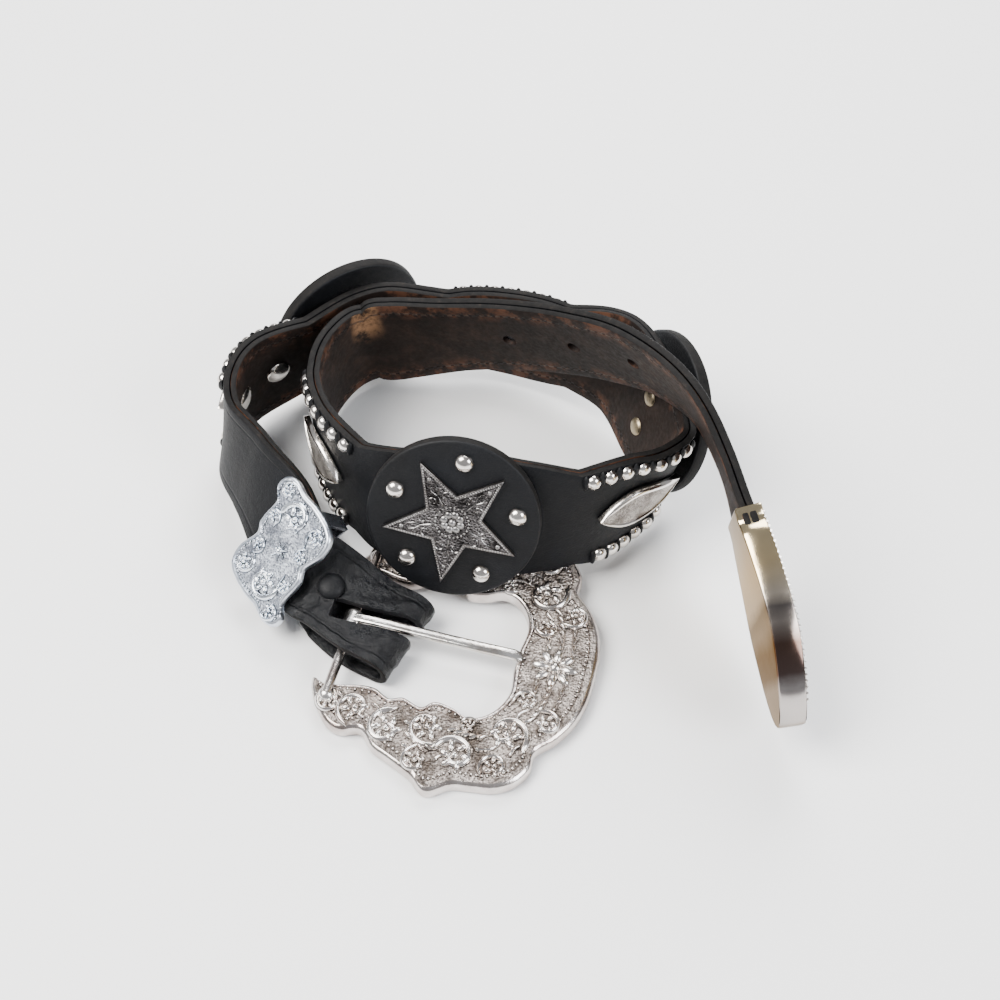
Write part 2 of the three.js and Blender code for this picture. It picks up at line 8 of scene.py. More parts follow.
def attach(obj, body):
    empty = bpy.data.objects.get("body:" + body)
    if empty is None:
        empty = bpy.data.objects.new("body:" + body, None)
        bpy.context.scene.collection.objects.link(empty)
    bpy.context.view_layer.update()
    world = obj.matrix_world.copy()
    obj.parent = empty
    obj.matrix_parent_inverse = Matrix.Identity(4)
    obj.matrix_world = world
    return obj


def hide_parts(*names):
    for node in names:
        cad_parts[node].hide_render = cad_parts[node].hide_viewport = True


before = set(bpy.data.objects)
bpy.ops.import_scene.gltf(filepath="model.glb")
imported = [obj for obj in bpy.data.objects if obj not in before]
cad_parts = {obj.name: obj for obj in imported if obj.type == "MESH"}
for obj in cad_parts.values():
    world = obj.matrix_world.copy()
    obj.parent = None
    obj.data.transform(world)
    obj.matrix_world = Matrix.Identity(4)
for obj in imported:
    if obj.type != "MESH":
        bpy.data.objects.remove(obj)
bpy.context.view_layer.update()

# A concho belt curled on its edge. Lengths are millimetres in the part's working frame until a piece
# is finished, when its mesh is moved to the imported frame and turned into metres.
MIDDLE = Vector((-3.371, 3.899, -0.111))
TO_METRES = 0.001
PACKED = Matrix.Scale(TO_METRES, 4) @ Matrix.Translation(-MIDDLE)
FLAT = Matrix.Identity(4)
UV_SPAN = 100

# The strap's two layers: thicknesses, heights of their faces above the line between them, half widths
GAP = 0.3
LEATHER = 2.0
LINING = 1.8
LEATHER_LOW = GAP / 2
LEATHER_TOP = GAP / 2 + LEATHER
LINING_TOP = -GAP / 2
LINING_LOW = -GAP / 2 - LINING
CREST = 19.0
NECK = 16.2
BILLET = 15.5
TAB_HALF = 13.4
TAB_TAPER = 24
LAST_SCALLOP = 32
BULGE_LONG = 30
BULGE_HIGH = 2.2
FOLD_RADIUS = 3.4
FLAP_LONG = 25.0
LINING_START = 45.0
POCKET = (20, 26)
CREASE_HIGH = 0.42
CREASE_FADE = 8
HOLES = 3
HOLE_AT = 504
HOLE_PITCH = 24.8
HOLE_RADIUS = 2.2
GROOVE_INSET = 3.0
GROOVE_END = 95
STRAP_STEP = 1.3
STRAP_EDGE = 0.4

# What sits on the strap
SEAT = 0.8
DISC_SEAT = 0.2
DISC_RADIUS = 25.4
DISC_THICK = 4
DISC_TURN = (5, 0, 0)
DISC_LIFT = (0.5, 0, 0)
STAR_SEAT = 0.2
STAR_RADIUS = 20.7
STAR_NOTCH = 0.42
STAR_ROLL = 29
STAR_THICK = 1.5
STAR_GROUND = 1.2
SPOT_CIRCLE = 18.9
LOZENGE_LONG = 29.0
LOZENGE_WIDE = 15.0
LOZENGE_HIGH = 1.75
LOZENGE_THICK = 1.95
LOZENGE_SCALLOP = 40.0
STUDS_IN_ROW = 7
STUD_PITCH = 5.1
EDGE_INSET = 3.0
LACE_INSET = 2.4
LACE_LOOP = (0.95, 2.5, 1.35)
CAP_AT = 23
DISC_RIVETS = 6.3
LOZENGE_RIVETS = 8.3
TIP_LONG = 60.0
TIP_SOCKET = 9
TIP_BACK_WALL = 1.2
TIP_FACE_WALL = 1.6

# Radius and height of each kind of half-round head
STUD = (2.35, 1.9)
SPOT = (2.75, 1.9)
BRASS_BACK = (2.9, 1.1)
SILVER_BACK = (4.2, 1.2)
CAP = (4.1, 1.9)
BAR_END = (2.6, 2.7)

# The buckle set
BUCKLE = dict(x=-42.8, y=-29.8, height=1.75, heading=-14.5, tilt=2, middle=-0.3)
BAR_HEIGHT = 5.85
BAR_RADIUS = 1.4
BAR_LONG = 50
BAR_ENDS_AT = 24.5
FRAME_TOP = 4.6
FRAME_GROUND = FRAME_TOP - 0.42
FRAME_STATIONS = 300
FLOWER_AT = 60.6
FLOWER_CLEAR = 6.6
TONGUE_WIDE = 3.2
EYE_WALL = 1.2
SLOT_MIDDLE = (10, 0, 8)
SLOT_SIZE = (32, 6.2, 30)
KEEPER_SHIFT = 3
KEEPER_TOP = 7.2
KEEPER_STATIONS = 260
BAND_LONG = 5
BAND_WALL = 1
BAND_HALF = 16.6
BAND_LOW = -4.5

# The camera
LENS = 55.08
EYE = Vector((0, -290, 372.2))
EYE_TILT = 40

# x, y, rise, lean, what it holds
ROUTE = (
    (-30.5, -34.9, 9.7, -87.5, ''), (-39, -29.9, 9.8, -87.5, ''), (-47.5, -23.2, 11.6, -82, ''),
    (-59.5, -13.5, 14.2, -56, 'keeper'), (-66.5, 2.5, 17.8, -44, ''), (-75.5, 16.5, 20.5, -24, ''),
    (-83, 28.5, 23, -12, ''), (-83, 39.5, 24.8, -7, ''), (-78, 51, 25, -8, 'lozenge'),
    (-61, 63.5, 25, -8, ''), (-47, 72.8, 25, -7, 'disc'), (-36.5, 76, 25, -6, ''),
    (-22.5, 75.5, 25, -6, ''), (-10.5, 75, 25, -6, ''), (3, 72.5, 25, -5, 'lozenge'),
    (22.5, 65.5, 25.3, 3, ''), (38, 56, 26.3, 14, ''), (46, 36, 26.5, 17, 'disc'),
    (49.6, 23.5, 26, 18, ''), (51, 15.6, 25.2, 16, ''), (47.4, 9.4, 24.8, 11, ''),
    (40, 4, 24, 4, 'lozenge'), (25.5, -4.5, 24.8, -10, ''), (7, -7.2, 27, -20.5, ''),
    (-13, -4.8, 28.4, -22, 'disc'), (-30.5, -2.2, 27.6, -20.5, ''), (-42, 6, 26.5, -9, ''),
    (-52.5, 21.5, 26.3, -1, 'lozenge'), (-56.5, 41.5, 25.5, 0, ''), (-52.5, 57, 25.2, -4, ''),
    (-45, 65.5, 26.2, -5, ''), (-32.5, 66.5, 28, -4, ''), (-17.5, 63.8, 32, -7, ''),
    (-1.5, 59, 37, -11, ''), (12.5, 52, 42.5, -15, ''), (27.5, 41, 49.8, -19, ''),
    (41.5, 27, 57, -22, ''), (55, 9.5, 58.5, -23, ''), (63, -4.5, 50.5, -20, ''),
    (68, -18.5, 41.5, -13, ''), (75, -48.5, 27, -5, ''), (78.5, -71, 16, -4, ''),
)


class SmoothLine:
    """A curve through points with even speed by distance."""

    def __init__(self, points):
        self.points = [Vector(p) for p in points]

    def at(self, t):
        last = len(self.points) - 1
        place = min(max(t, 0), 1) * last
        k = min(int(place), last - 1)
        part = place - k
        p = self.points
        before = p[k - 1] if k > 0 else 2 * p[0] - p[1]
        after = p[k + 2] if k + 2 <= last else 2 * p[last] - p[last - 1]
        a, b, c = [max((q - r).length_squared ** 0.25, 1e-4)
                   for q, r in ((p[k], before), (p[k + 1], p[k]), (after, p[k + 1]))]
        start = ((p[k] - before) / a - (p[k + 1] - before) / (a + b) + (p[k + 1] - p[k]) / b) * b
        end = ((p[k + 1] - p[k]) / b - (after - p[k]) / (b + c) + (after - p[k + 1]) / c) * b
        cubic = 2 * p[k] - 2 * p[k + 1] + start + end
        square = -3 * p[k] + 3 * p[k + 1] - 2 * start - end
        return p[k] + start * part + square * part ** 2 + cubic * part ** 3


route = SmoothLine([row[:3] for row in ROUTE])
leans = SmoothLine([(row[3], 5 * i, 0) for i, row in enumerate(ROUTE)])
DIVISIONS = 1200
lengths = [0.0]
for k in range(DIVISIONS):
    lengths.append(lengths[-1] + (route.at((k + 1) / DIVISIONS) - route.at(k / DIVISIONS)).length)
LENGTH = lengths[-1]
STRAP_END = LENGTH - TIP_LONG + TIP_SOCKET


def station_of(row):
    """The distance along the route of one row of its table."""
    return lengths[round(row / (len(ROUTE) - 1) * DIVISIONS)]


holds = [(row[4], station_of(i)) for i, row in enumerate(ROUTE) if row[4]]
discs = [s for kind, s in holds if kind == 'disc']
lozenges = [s for kind, s in holds if kind == 'lozenge']
KEEPER_AT = [s for kind, s in holds if kind == 'keeper'][0] + KEEPER_SHIFT
notches = [n for s in lozenges for n in (s - LOZENGE_SCALLOP / 2, s + LOZENGE_SCALLOP / 2)]
notches.append(notches[-1] + LAST_SCALLOP)
BULGE_END = notches[-1] + BULGE_LONG
FOLD_LONG = math.pi * FOLD_RADIUS


def frame_on_route(s):
    """The route's point at a distance, and the directions along, across and out of the strap there."""
    s = min(max(s, 0), LENGTH)
    k = min(max(bisect.bisect_right(lengths, s) - 1, 0), DIVISIONS - 1)
    t = (k + (s - lengths[k]) / (lengths[k + 1] - lengths[k])) / DIVISIONS
    point = route.at(t)
    along = (route.at(min(t + 1e-4, 1)) - route.at(max(t - 1e-4, 0))).normalized()
    side = Vector((0, 0, 1)).cross(along).normalized()
    up = along.cross(side)
    lean = math.radians(leans.at(t).x)
    across = up * math.cos(lean) + side * math.sin(lean)
    out = side * math.cos(lean) - up * math.sin(lean)
    return point, along, across, out


def frame_at(s):
    """The same, with the fold: round the buckle's bar and back under the strap, before distance 0."""
    if s >= 0:
        return frame_on_route(s)
    if s < -FOLD_LONG:
        back = -FOLD_LONG - s
        point, along, across, out = frame_on_route(back)
        part = min(max((back - POCKET[0]) / (POCKET[1] - POCKET[0]), 0), 1)
        closing = part * part * (3 - 2 * part)
        return point - out * 2 * FOLD_RADIUS * (1 - closing), -along, across, -out
    turn = -s / FOLD_RADIUS
    point, along, across, out = frame_on_route(0)
    drop = FOLD_RADIUS * (1 - math.cos(turn))
    point = point - along * FOLD_RADIUS * math.sin(turn) - out * drop
    return (point, along * math.cos(turn) + out * math.sin(turn), across,
            out * math.cos(turn) - along * math.sin(turn))


def at(s, v, w):
    """The point at a distance, so far across the strap and so far out of it."""
    point, along, across, out = frame_at(s)
    return point + across * v + out * w


def seat(s, v, w):
    """The place of a piece that sits at that point, its z out of the strap."""
    point, along, across, out = frame_at(s)
    place = Matrix((-along, across, out)).transposed().to_4x4()
    place.translation = point + across * v + out * w
    return place


def half_width(s):
    """Half the strap's width: the tab, the scallops between the notches, a last bulge, the billet."""
    if s < notches[0] - TAB_TAPER:
        return TAB_HALF
    if s < notches[0]:
        return TAB_HALF + (NECK - TAB_HALF) * (s - notches[0] + TAB_TAPER) / TAB_TAPER
    for start, end in zip(notches, notches[1:]):
        if start <= s < end:
            part = (s - start) / (end - start)
            return NECK + (CREST - NECK) * 4 * part * (1 - part)
    if s > BULGE_END:
        return BILLET
    part = (s - notches[-1]) / (BULGE_END - notches[-1])
    bulge = BULGE_HIGH * math.sin(math.pi * math.sqrt(part)) * (1 - part)
    return NECK + (BILLET - NECK) * part + bulge


def on_circle(radius, angle, z=0):
    """A point at a radius and an angle round the origin."""
    return Vector((radius * math.cos(angle), radius * math.sin(angle), z))


# Shader maths
class Value:
    """A socket that takes part in plain arithmetic."""

    def __init__(self, finish, socket):
        self.finish = finish
        self.socket = socket

    def _maths(self, operation, *values):
        return self.finish.node('ShaderNodeMath', {'operation': operation}, dict(enumerate(values)))

    def __add__(self, other): return self._maths('ADD', self, other)
    def __radd__(self, other): return self._maths('ADD', other, self)
    def __sub__(self, other): return self._maths('SUBTRACT', self, other)
    def __rsub__(self, other): return self._maths('SUBTRACT', other, self)
    def __mul__(self, other): return self._maths('MULTIPLY', self, other)
    def __rmul__(self, other): return self._maths('MULTIPLY', other, self)
    def __truediv__(self, other): return self._maths('DIVIDE', self, other)
    def __lt__(self, other): return self._maths('LESS_THAN', self, other)
    def __gt__(self, other): return self._maths('GREATER_THAN', self, other)
    def repeat(self, length): return self._maths('WRAP', self, length, 0)

    def ease(self, low, high):
        return self.finish.node('ShaderNodeMapRange',
                                {'interpolation_type': 'SMOOTHSTEP', 'clamp': True},
                                {0: self, 1: low, 2: high, 3: 0.0, 4: 1.0})


class Finish:
    """A material and the one method that makes its nodes."""

    def __init__(self, name, metallic=0.0, **sockets):
        self.material = bpy.data.materials.new(name)
        self.material.use_nodes = True
        self.tree = self.material.node_tree
        self.shader = self.tree.nodes['Principled BSDF']
        self.set('Metallic', metallic)
        for socket, value in sockets.items():
            self.set(socket.replace('_', ' ').title().replace('Ior', 'IOR'), value)

    def node(self, kind, settings=None, inputs=None, output=0):
        made = self.tree.nodes.new(kind)
        for key, value in (settings or {}).items():
            if key == 'stops':
                ramp = made.color_ramp
                ramp.elements[0].position, ramp.elements[0].color = value[0][0], (*value[0][1], 1)
                ramp.elements[1].position, ramp.elements[1].color = value[-1][0], (*value[-1][1], 1)
                for place, colour in value[1:-1]:
                    ramp.elements.new(place).color = (*colour, 1)
            else:
                setattr(made, key, value)
        for key, value in (inputs or {}).items():
            self._join(made.inputs[key], value)
        return Value(self, made.outputs[output])

    def _join(self, socket, value):
        if isinstance(value, Value):
            self.tree.links.new(value.socket, socket)
        else:
            socket.default_value = value

    def set(self, socket, value):
        self._join(self.shader.inputs[socket], value)

    def place(self, uv=None):
        if uv:
            return self.node('ShaderNodeUVMap', {'uv_map': uv})
        return self.node('ShaderNodeTexCoord', output=3)

    def axis(self, vector, number):
        return self.node('ShaderNodeSeparateXYZ', None, {0: vector}, number)

    def noise(self, scale, detail=4, rough=0.55):
        return self.node('ShaderNodeTexNoise', None, {'Vector': self.place(), 'Scale': scale,
                                                      'Detail': detail, 'Roughness': rough})

    def cells(self, scale, feature='F1'):
        return self.node('ShaderNodeTexVoronoi', {'feature': feature},
                         {'Vector': self.place(), 'Scale': scale})

    def ramp(self, value, *stops):
        return self.node('ShaderNodeValToRGB', {'stops': stops}, {0: value})

    def mix(self, mask, first, second):
        def four(c): return c if isinstance(c, Value) else (*c, 1)
        return self.node('ShaderNodeMix', {'data_type': 'RGBA'},
                         {0: mask, 6: four(first), 7: four(second)}, 2)

    def bump(self, height, strength, distance, under=None):
        inputs = {'Height': height, 'Strength': strength, 'Distance': distance}
        if under:
            inputs['Normal'] = under
        return self.node('ShaderNodeBump', None, inputs)


def black_leather(name, shine=0.17, rough=0.42, crease=0.35, coat=0.06, grooved=True):
    """Black leather with a fine grain, soft creases and, on the strap, a groove near its edge."""
    look = Finish(name, specular_ior_level=shine, coat_weight=coat, coat_roughness=0.35)
    broad = look.noise(45, 5)
    fine = look.noise(900, 3)
    grain = look.cells(1500, 'DISTANCE_TO_EDGE')
    folds = look.noise(330, 6, 0.65) * crease
    look.set('Base Color', look.ramp(broad, (0.35, (0.0012, 0.0014, 0.002)),
                                     (0.55, (0.0022, 0.0026, 0.0038)), (0.75, (0.0045, 0.0055, 0.008))))
    if grooved:
        along = look.axis(look.place('along'), 0)
        inset = look.axis(look.place('edge'), 1)
        groove = GROOVE_INSET / UV_SPAN
        off = (inset - groove) * (inset - groove)
        folds = folds - 0.5 * (1 - off.ease(0.0, 0.00003)) * (along < GROOVE_END / UV_SPAN)
    look.set('Roughness', rough + 0.2 * broad + 0.1 * fine)
    look.set('Normal', look.bump(folds, 0.7, 0.0012, look.bump(grain.ease(0, 0.12), 0.3, 0.0003)))
    return look


def brown_lining():
    """Brown leather, blotched, worn pale along its edges, with a row of stitches near each of them."""
    rub_at, stitch_inset, stitch_pitch, stitch_long = 4.55, 0.036, 0.030, 0.019
    look = Finish('brown lining', specular_ior_level=0.16)
    patch = look.noise(38, 6, 0.62)
    blot = look.noise(130, 5, 0.7)
    grain = look.noise(700, 4)
    inset = look.axis(look.place('edge'), 1)
    distance = look.axis(look.place('edge'), 0)
    plain = look.ramp(patch * 0.5 + blot * 0.5, (0.34, (0.0055, 0.0036, 0.0029)),
                      (0.5, (0.0135, 0.0080, 0.0060)), (0.6, (0.026, 0.0150, 0.0105)),
                      (0.7, (0.070, 0.036, 0.021)))
    worn = (1 - inset.ease(0.03, 0.075)) * blot.ease(0.46, 0.62)
    colour = look.mix(worn * 0.8, plain, (0.085, 0.036, 0.02))
    away = (distance - rub_at) * (distance - rub_at)
    rub = (1 - away.ease(0.0, 0.006)) * (1 - inset.ease(0.06, 0.16))
    rub = rub * (look.axis(look.place('along'), 1) > 0)
    colour = look.mix(rub * blot.ease(0.38, 0.6), colour, (0.26, 0.14, 0.07))
    near = (inset - stitch_inset) * (inset - stitch_inset)
    row = 1 - near.ease(0.0, 0.00003)
    stitch = row * (distance.repeat(stitch_pitch) < stitch_long)
    colour = look.mix(row * 0.6, colour, (0.004, 0.003, 0.003))
    colour = look.mix(stitch * blot.ease(0.4, 0.6) * 0.5, colour, (0.12, 0.08, 0.06))
    look.set('Base Color', colour)
    look.set('Roughness', 0.5 + 0.35 * grain)
    rough = look.bump(grain, 0.3, 0.0004)
    look.set('Normal', look.bump(stitch - row * 0.5, 0.7, 0.0005, rough))
    return look


def cut_edge():
    """The dark cut edge of leather, with pale fibres."""
    look = Finish('cut edge', specular_ior_level=0.12)
    fibre = look.noise(420, 5, 0.7)
    look.set('Base Color', look.ramp(fibre, (0.3, (0.0035, 0.0034, 0.0036)), (0.6, (0.010, 0.0092, 0.0088)),
                                     (0.8, (0.035, 0.026, 0.021))))
    look.set('Roughness', 0.55 + 0.25 * fibre)
    look.set('Normal', look.bump(fibre, 0.4, 0.0005))
    return look


def metal(name, bright, dark, rough, pits=0.25, mottle=0.35, ground=None, stain=None):
    """Polished metal. With a ground height, what lies at or under it is stained dark, as in old chasing."""
    look = Finish(name, metallic=1.0)
    tone = look.noise(120, 5, 0.6)
    fine = look.noise(900, 3)
    # On the frame silver the dark tone's brown patches are painted reflections; on the other metals it is
    # random mottling.
    colour = look.ramp(tone, (0.3, dark), (0.3 + mottle, bright), (0.85, bright))
    if ground is not None:
        height = look.axis(look.place('relief'), 0) + 0.15 * (tone - 0.5)
        colour = look.mix(height.ease(ground, ground + 0.4), stain, colour)
    look.set('Base Color', colour)
    look.set('Roughness', rough + 0.14 * (tone - 0.4) + 0.08 * fine)
    look.set('Normal', look.bump(fine, pits, 0.00025))
    return look


def stippled(name, bright, dark, scale=1500):
    """The matted ground of chased metal, in small dark-edged dots."""
    look = Finish(name, metallic=1.0)
    dots = look.cells(scale)
    patch = look.noise(160, 4)
    look.set('Base Color', look.mix(dots.ease(0.1, 0.6) * patch.ease(0.3, 0.6), dark, bright))
    look.set('Roughness', 0.3 + 0.2 * dots)
    look.set('Normal', look.bump(dots, 0.9, 0.0006))
    return look


def painted_reflection_back():
    """The tip's flat polished back, its colour a painted reflection: gold at its start, brown lower down and
    pale grey at its point.
    """
    look = Finish('tip back painted reflection', metallic=1.0)
    look.set('Specular Tint', (0.42, 0.35, 0.27, 1))
    broad = look.noise(48, 4, 0.55)
    # Painted reflection: the base colour runs along the tip from gold through dark brown to pale grey.
    down = (look.axis(look.place('along'), 0) * UV_SPAN - (LENGTH - TIP_LONG)) / TIP_LONG
    down = down + 0.12 * (broad - 0.5)
    look.set('Base Color', look.ramp(
        down, (0.0, (0.62, 0.52, 0.34)), (0.3, (0.68, 0.53, 0.31)), (0.44, (0.60, 0.52, 0.42)),
        (0.5, (0.16, 0.14, 0.13)), (0.57, (0.30, 0.26, 0.23)), (0.66, (0.10, 0.062, 0.048)),
        (0.78, (0.13, 0.09, 0.08)), (0.84, (0.46, 0.42, 0.40)), (1.0, (0.40, 0.37, 0.35))))
    look.set('Roughness', 0.08 + 0.14 * look.noise(300, 4))
    look.set('Normal', look.bump(look.noise(60, 3), 0.12, 0.001))
    return look


LEATHER_LOOK = black_leather('strap leather')
TAB_LOOK = black_leather('creased tab leather', 0.26, 0.1, 1.2, 0.0)
DISC_LOOK = black_leather('disc leather', 0.2, 0.4, 0.3, 0.07, False)
LINING_LOOK = brown_lining()
EDGE_LOOK = cut_edge()
# The frame silver's dark brown patches are painted reflections, spread at random over the frame.
SILVER = metal('frame silver painted reflections', (0.74, 0.70, 0.67), (0.36, 0.29, 0.26), 0.16, 0.3, 0.4)
CHASED = metal('chased silver', (0.78, 0.75, 0.72), (0.46, 0.40, 0.36), 0.16, 0.2, 0.35,
               FRAME_GROUND, (0.02, 0.016, 0.014))
GROUND = stippled('silver ground', (0.54, 0.48, 0.44), (0.10, 0.082, 0.07))
BARE = metal('polished silver', (0.84, 0.82, 0.79), (0.55, 0.5, 0.45), 0.14)
ANTIQUE = metal('antiqued star', (0.2, 0.19, 0.185), (0.09, 0.082, 0.08), 0.26)
ANTIQUE_CHASED = metal('star leaves', (0.33, 0.32, 0.315), (0.13, 0.12, 0.115), 0.24, 0.3, 0.3,
                       1.1, (0.012, 0.011, 0.011))
ANTIQUE_GROUND = stippled('antiqued ground', (0.16, 0.15, 0.15), (0.012, 0.011, 0.011))
NICKEL = metal('nailhead nickel', (0.86, 0.82, 0.77), (0.6, 0.55, 0.5), 0.12, 0.1)
PLATE = stippled('lozenge face', (0.5, 0.46, 0.42), (0.14, 0.12, 0.105), 1900)
BRASS = metal('worn brass', (0.5, 0.42, 0.28), (0.2, 0.16, 0.11), 0.36)
MIRROR = painted_reflection_back()
KEEPER_SILVER = metal('keeper silver', (0.74, 0.78, 0.85), (0.45, 0.49, 0.56), 0.24, 0.45)
KEEPER_CHASED = metal('keeper leaves', (0.82, 0.87, 0.93), (0.55, 0.6, 0.67), 0.18, 0.3, 0.3,
                      KEEPER_TOP - 0.42, (0.03, 0.034, 0.045))
KEEPER_GROUND = stippled('keeper ground', (0.60, 0.64, 0.71), (0.17, 0.185, 0.22))

# A chased piece's looks, in the order of its materials
ON_RIM, ON_GROUND, ON_RELIEF = range(3)


# Pieces
def object_of(name, bm):
    """Puts a finished mesh into the scene."""
    mesh = bpy.data.meshes.new(name)
    bm.to_mesh(mesh)
    bm.free()
    made = bpy.data.objects.new(name, mesh)
    bpy.context.scene.collection.objects.link(made)
    return made


def piece(name, bm, looks, nodes=(), body='belt', smooth=40, place=None):
    """Finishes a piece. One that is made flat keeps its heights as 'relief' before it is placed."""
    if place is not None:
        relief = bm.loops.layers.uv.new('relief')
        for face in bm.faces:
            for loop in face.loops:
                loop[relief].uv = (loop.vert.co.z, 0)
        bmesh.ops.transform(bm, matrix=place, verts=bm.verts)
    bmesh.ops.transform(bm, matrix=PACKED, verts=bm.verts)
    made = object_of(name, bm)
    mesh = made.data
    for look in looks:
        mesh.materials.append(look.material)
    mesh.polygons.foreach_set('use_smooth', [True] * len(mesh.polygons))
    mesh.set_sharp_from_angle(angle=math.radians(smooth))
    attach(made, body)
    if nodes:
        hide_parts(*nodes)
    return made


def cutter(bm):
    """A closed mesh that cuts a hole."""
    bmesh.ops.transform(bm, matrix=PACKED, verts=bm.verts)
    bmesh.ops.recalc_face_normals(bm, faces=bm.faces)
    return object_of('cutter', bm)


def carve(target, *cutters):
    """Cuts holes with closed meshes and keeps the result as the piece's own mesh."""
    for tool in cutters:
        change = target.modifiers.new('cut', 'BOOLEAN')
        change.operation = 'DIFFERENCE'
        change.solver = 'EXACT'
        change.object = tool
    view = bpy.context.evaluated_depsgraph_get()
    mesh = bpy.data.meshes.new_from_object(target.evaluated_get(view), depsgraph=view)
    target.modifiers.clear()
    target.data = mesh
    for tool in cutters:
        bpy.data.objects.remove(tool)


def extruded(bm, faces):
    """Extrudes faces and gives back their new vertices, not yet moved."""
    made = bmesh.ops.extrude_face_region(bm, geom=faces)
    return [v for v in made['geom'] if isinstance(v, bmesh.types.BMVert)]


def corners(bm, angle=1):
    """The edges where two faces meet at more than an angle."""
    return [e for e in bm.edges if e.calc_face_angle(0) > angle]


def soften(bm, edges, offset, segments):
    """Rounds edges."""
    bmesh.ops.bevel(bm, geom=edges, offset=offset, segments=segments, profile=0.5, affect='EDGES',
                    material=-1)


def layer(start, end, step, columns, half, low, high, edge, shape=None, edge_look=1):
    """A flat band from one distance to another, given thickness and soft edges, then bent to the route."""
    bm = bmesh.new()
    rows = int((end - start) / step)
    bmesh.ops.create_grid(bm, x_segments=rows, y_segments=columns, size=0.5)
    for vert in bm.verts:
        s = start + (vert.co.x + 0.5) * (end - start)
        vert.co = Vector((s, 2 * vert.co.y * half(s), low))
    bmesh.ops.translate(bm, vec=(0, 0, high - low), verts=extruded(bm, bm.faces[:]))
    bmesh.ops.recalc_face_normals(bm, faces=bm.faces)
    for face in bm.faces:
        if abs(face.normal.z) < 0.5:
            face.material_index = edge_look
    soften(bm, corners(bm), edge, 2)
    along = bm.loops.layers.uv.new('along')
    inset = bm.loops.layers.uv.new('edge')
    for face in bm.faces:
        for loop in face.loops:
            s, v, _ = loop.vert.co
            loop[along].uv = (s / UV_SPAN, v / UV_SPAN)
            loop[inset].uv = (s / UV_SPAN, (half(s) - abs(v)) / UV_SPAN)
    for vert in bm.verts:
        s, v, w = vert.co
        if shape:
            w = shape(s, v, w)
        vert.co = at(s, v, w)
    return bm


buckle_place = Matrix.Translation((BUCKLE['x'], BUCKLE['y'], BUCKLE['height']))
buckle_place = buckle_place @ Matrix.Rotation(math.radians(BUCKLE['heading']), 4, 'Z')
buckle_place = buckle_place @ Matrix.Rotation(math.radians(BUCKLE['tilt']), 4, 'X')


def strap():
    """Both layers of the strap, with the tongue's slot and the buckle holes."""
    def creased(s, v, w):
        """Shallow creases in the outer face, from the bar to the keeper."""
        if w < LEATHER_TOP - 0.01 or s > KEEPER_AT:
            return w
        fade = min(1, (KEEPER_AT - s) / CREASE_FADE)
        fade *= min(1, max(0, s + FOLD_LONG + CREASE_FADE) / CREASE_FADE)
        wave = math.sin(0.85 * s + 0.5 * v) * math.sin(0.5 * v - 0.35 * s + 1)
        wave += 0.55 * math.sin(1.5 * s - 0.9 * v)
        return w + CREASE_HIGH * fade * wave

    def punches():
        made = []
        for k in range(HOLES):
            bm = bmesh.new()
            bmesh.ops.create_cone(bm, cap_ends=True, segments=24, radius1=HOLE_RADIUS,
                                  radius2=HOLE_RADIUS, depth=12, matrix=seat(HOLE_AT + HOLE_PITCH * k, 0, 0))
            made.append(cutter(bm))
        return made

    outer = layer(-FOLD_LONG - FLAP_LONG, STRAP_END, STRAP_STEP, 16, half_width, LEATHER_LOW, LEATHER_TOP,
                  STRAP_EDGE, creased)
    along = outer.loops.layers.uv['along']
    for face in outer.faces:
        if face.material_index == 0 and face.loops[0][along].uv.x * UV_SPAN < KEEPER_AT:
            face.material_index = 2
    leather = piece('strap_leather_skin', outer, [LEATHER_LOOK, EDGE_LOOK, TAB_LOOK], ['strap_leather'])
    inner = layer(LINING_START, STRAP_END, STRAP_STEP, 12, half_width, LINING_LOW, LINING_TOP, STRAP_EDGE)
    lining = piece('strap_lining_skin', inner, [LINING_LOOK, EDGE_LOOK], ['strap_lining'])
    slot_box = bmesh.new()
    bmesh.ops.create_cube(slot_box, size=1, matrix=buckle_place @ Matrix.Translation(SLOT_MIDDLE)
                          @ Matrix.Diagonal((*SLOT_SIZE, 1)))
    carve(leather, cutter(slot_box), *punches())
    carve(lining, *punches())


half_balls = {}


def half_ball(sides, rings):
    """A closed half ball of radius 1, made once for each number of faces."""
    if (sides, rings) not in half_balls:
        ball = bmesh.new()
        made = bmesh.ops.create_uvsphere(ball, u_segments=sides, v_segments=rings, radius=1)
        bmesh.ops.delete(ball, geom=[v for v in made['verts'] if v.co.z < -0.05], context='VERTS')
        bmesh.ops.contextual_create(ball, geom=[e for e in ball.edges if e.is_boundary])
        bmesh.ops.recalc_face_normals(ball, faces=ball.faces)
        half_balls[sides, rings] = bpy.data.meshes.new('half_ball')
        ball.to_mesh(half_balls[sides, rings])
        ball.free()
    return half_balls[sides, rings]


def dome(bm, radius, high, place, sides, rings):
    """A half ball, flattened or raised to its height, with so many sides and rings of a whole ball."""
    mesh = half_ball(sides, rings).copy()
    mesh.transform(place @ Matrix.Diagonal((radius, radius, high, 1)))
    mesh.polygons.foreach_set('material_index', [ON_RELIEF] * len(mesh.polygons))
    bm.from_mesh(mesh)
    bpy.data.meshes.remove(mesh)


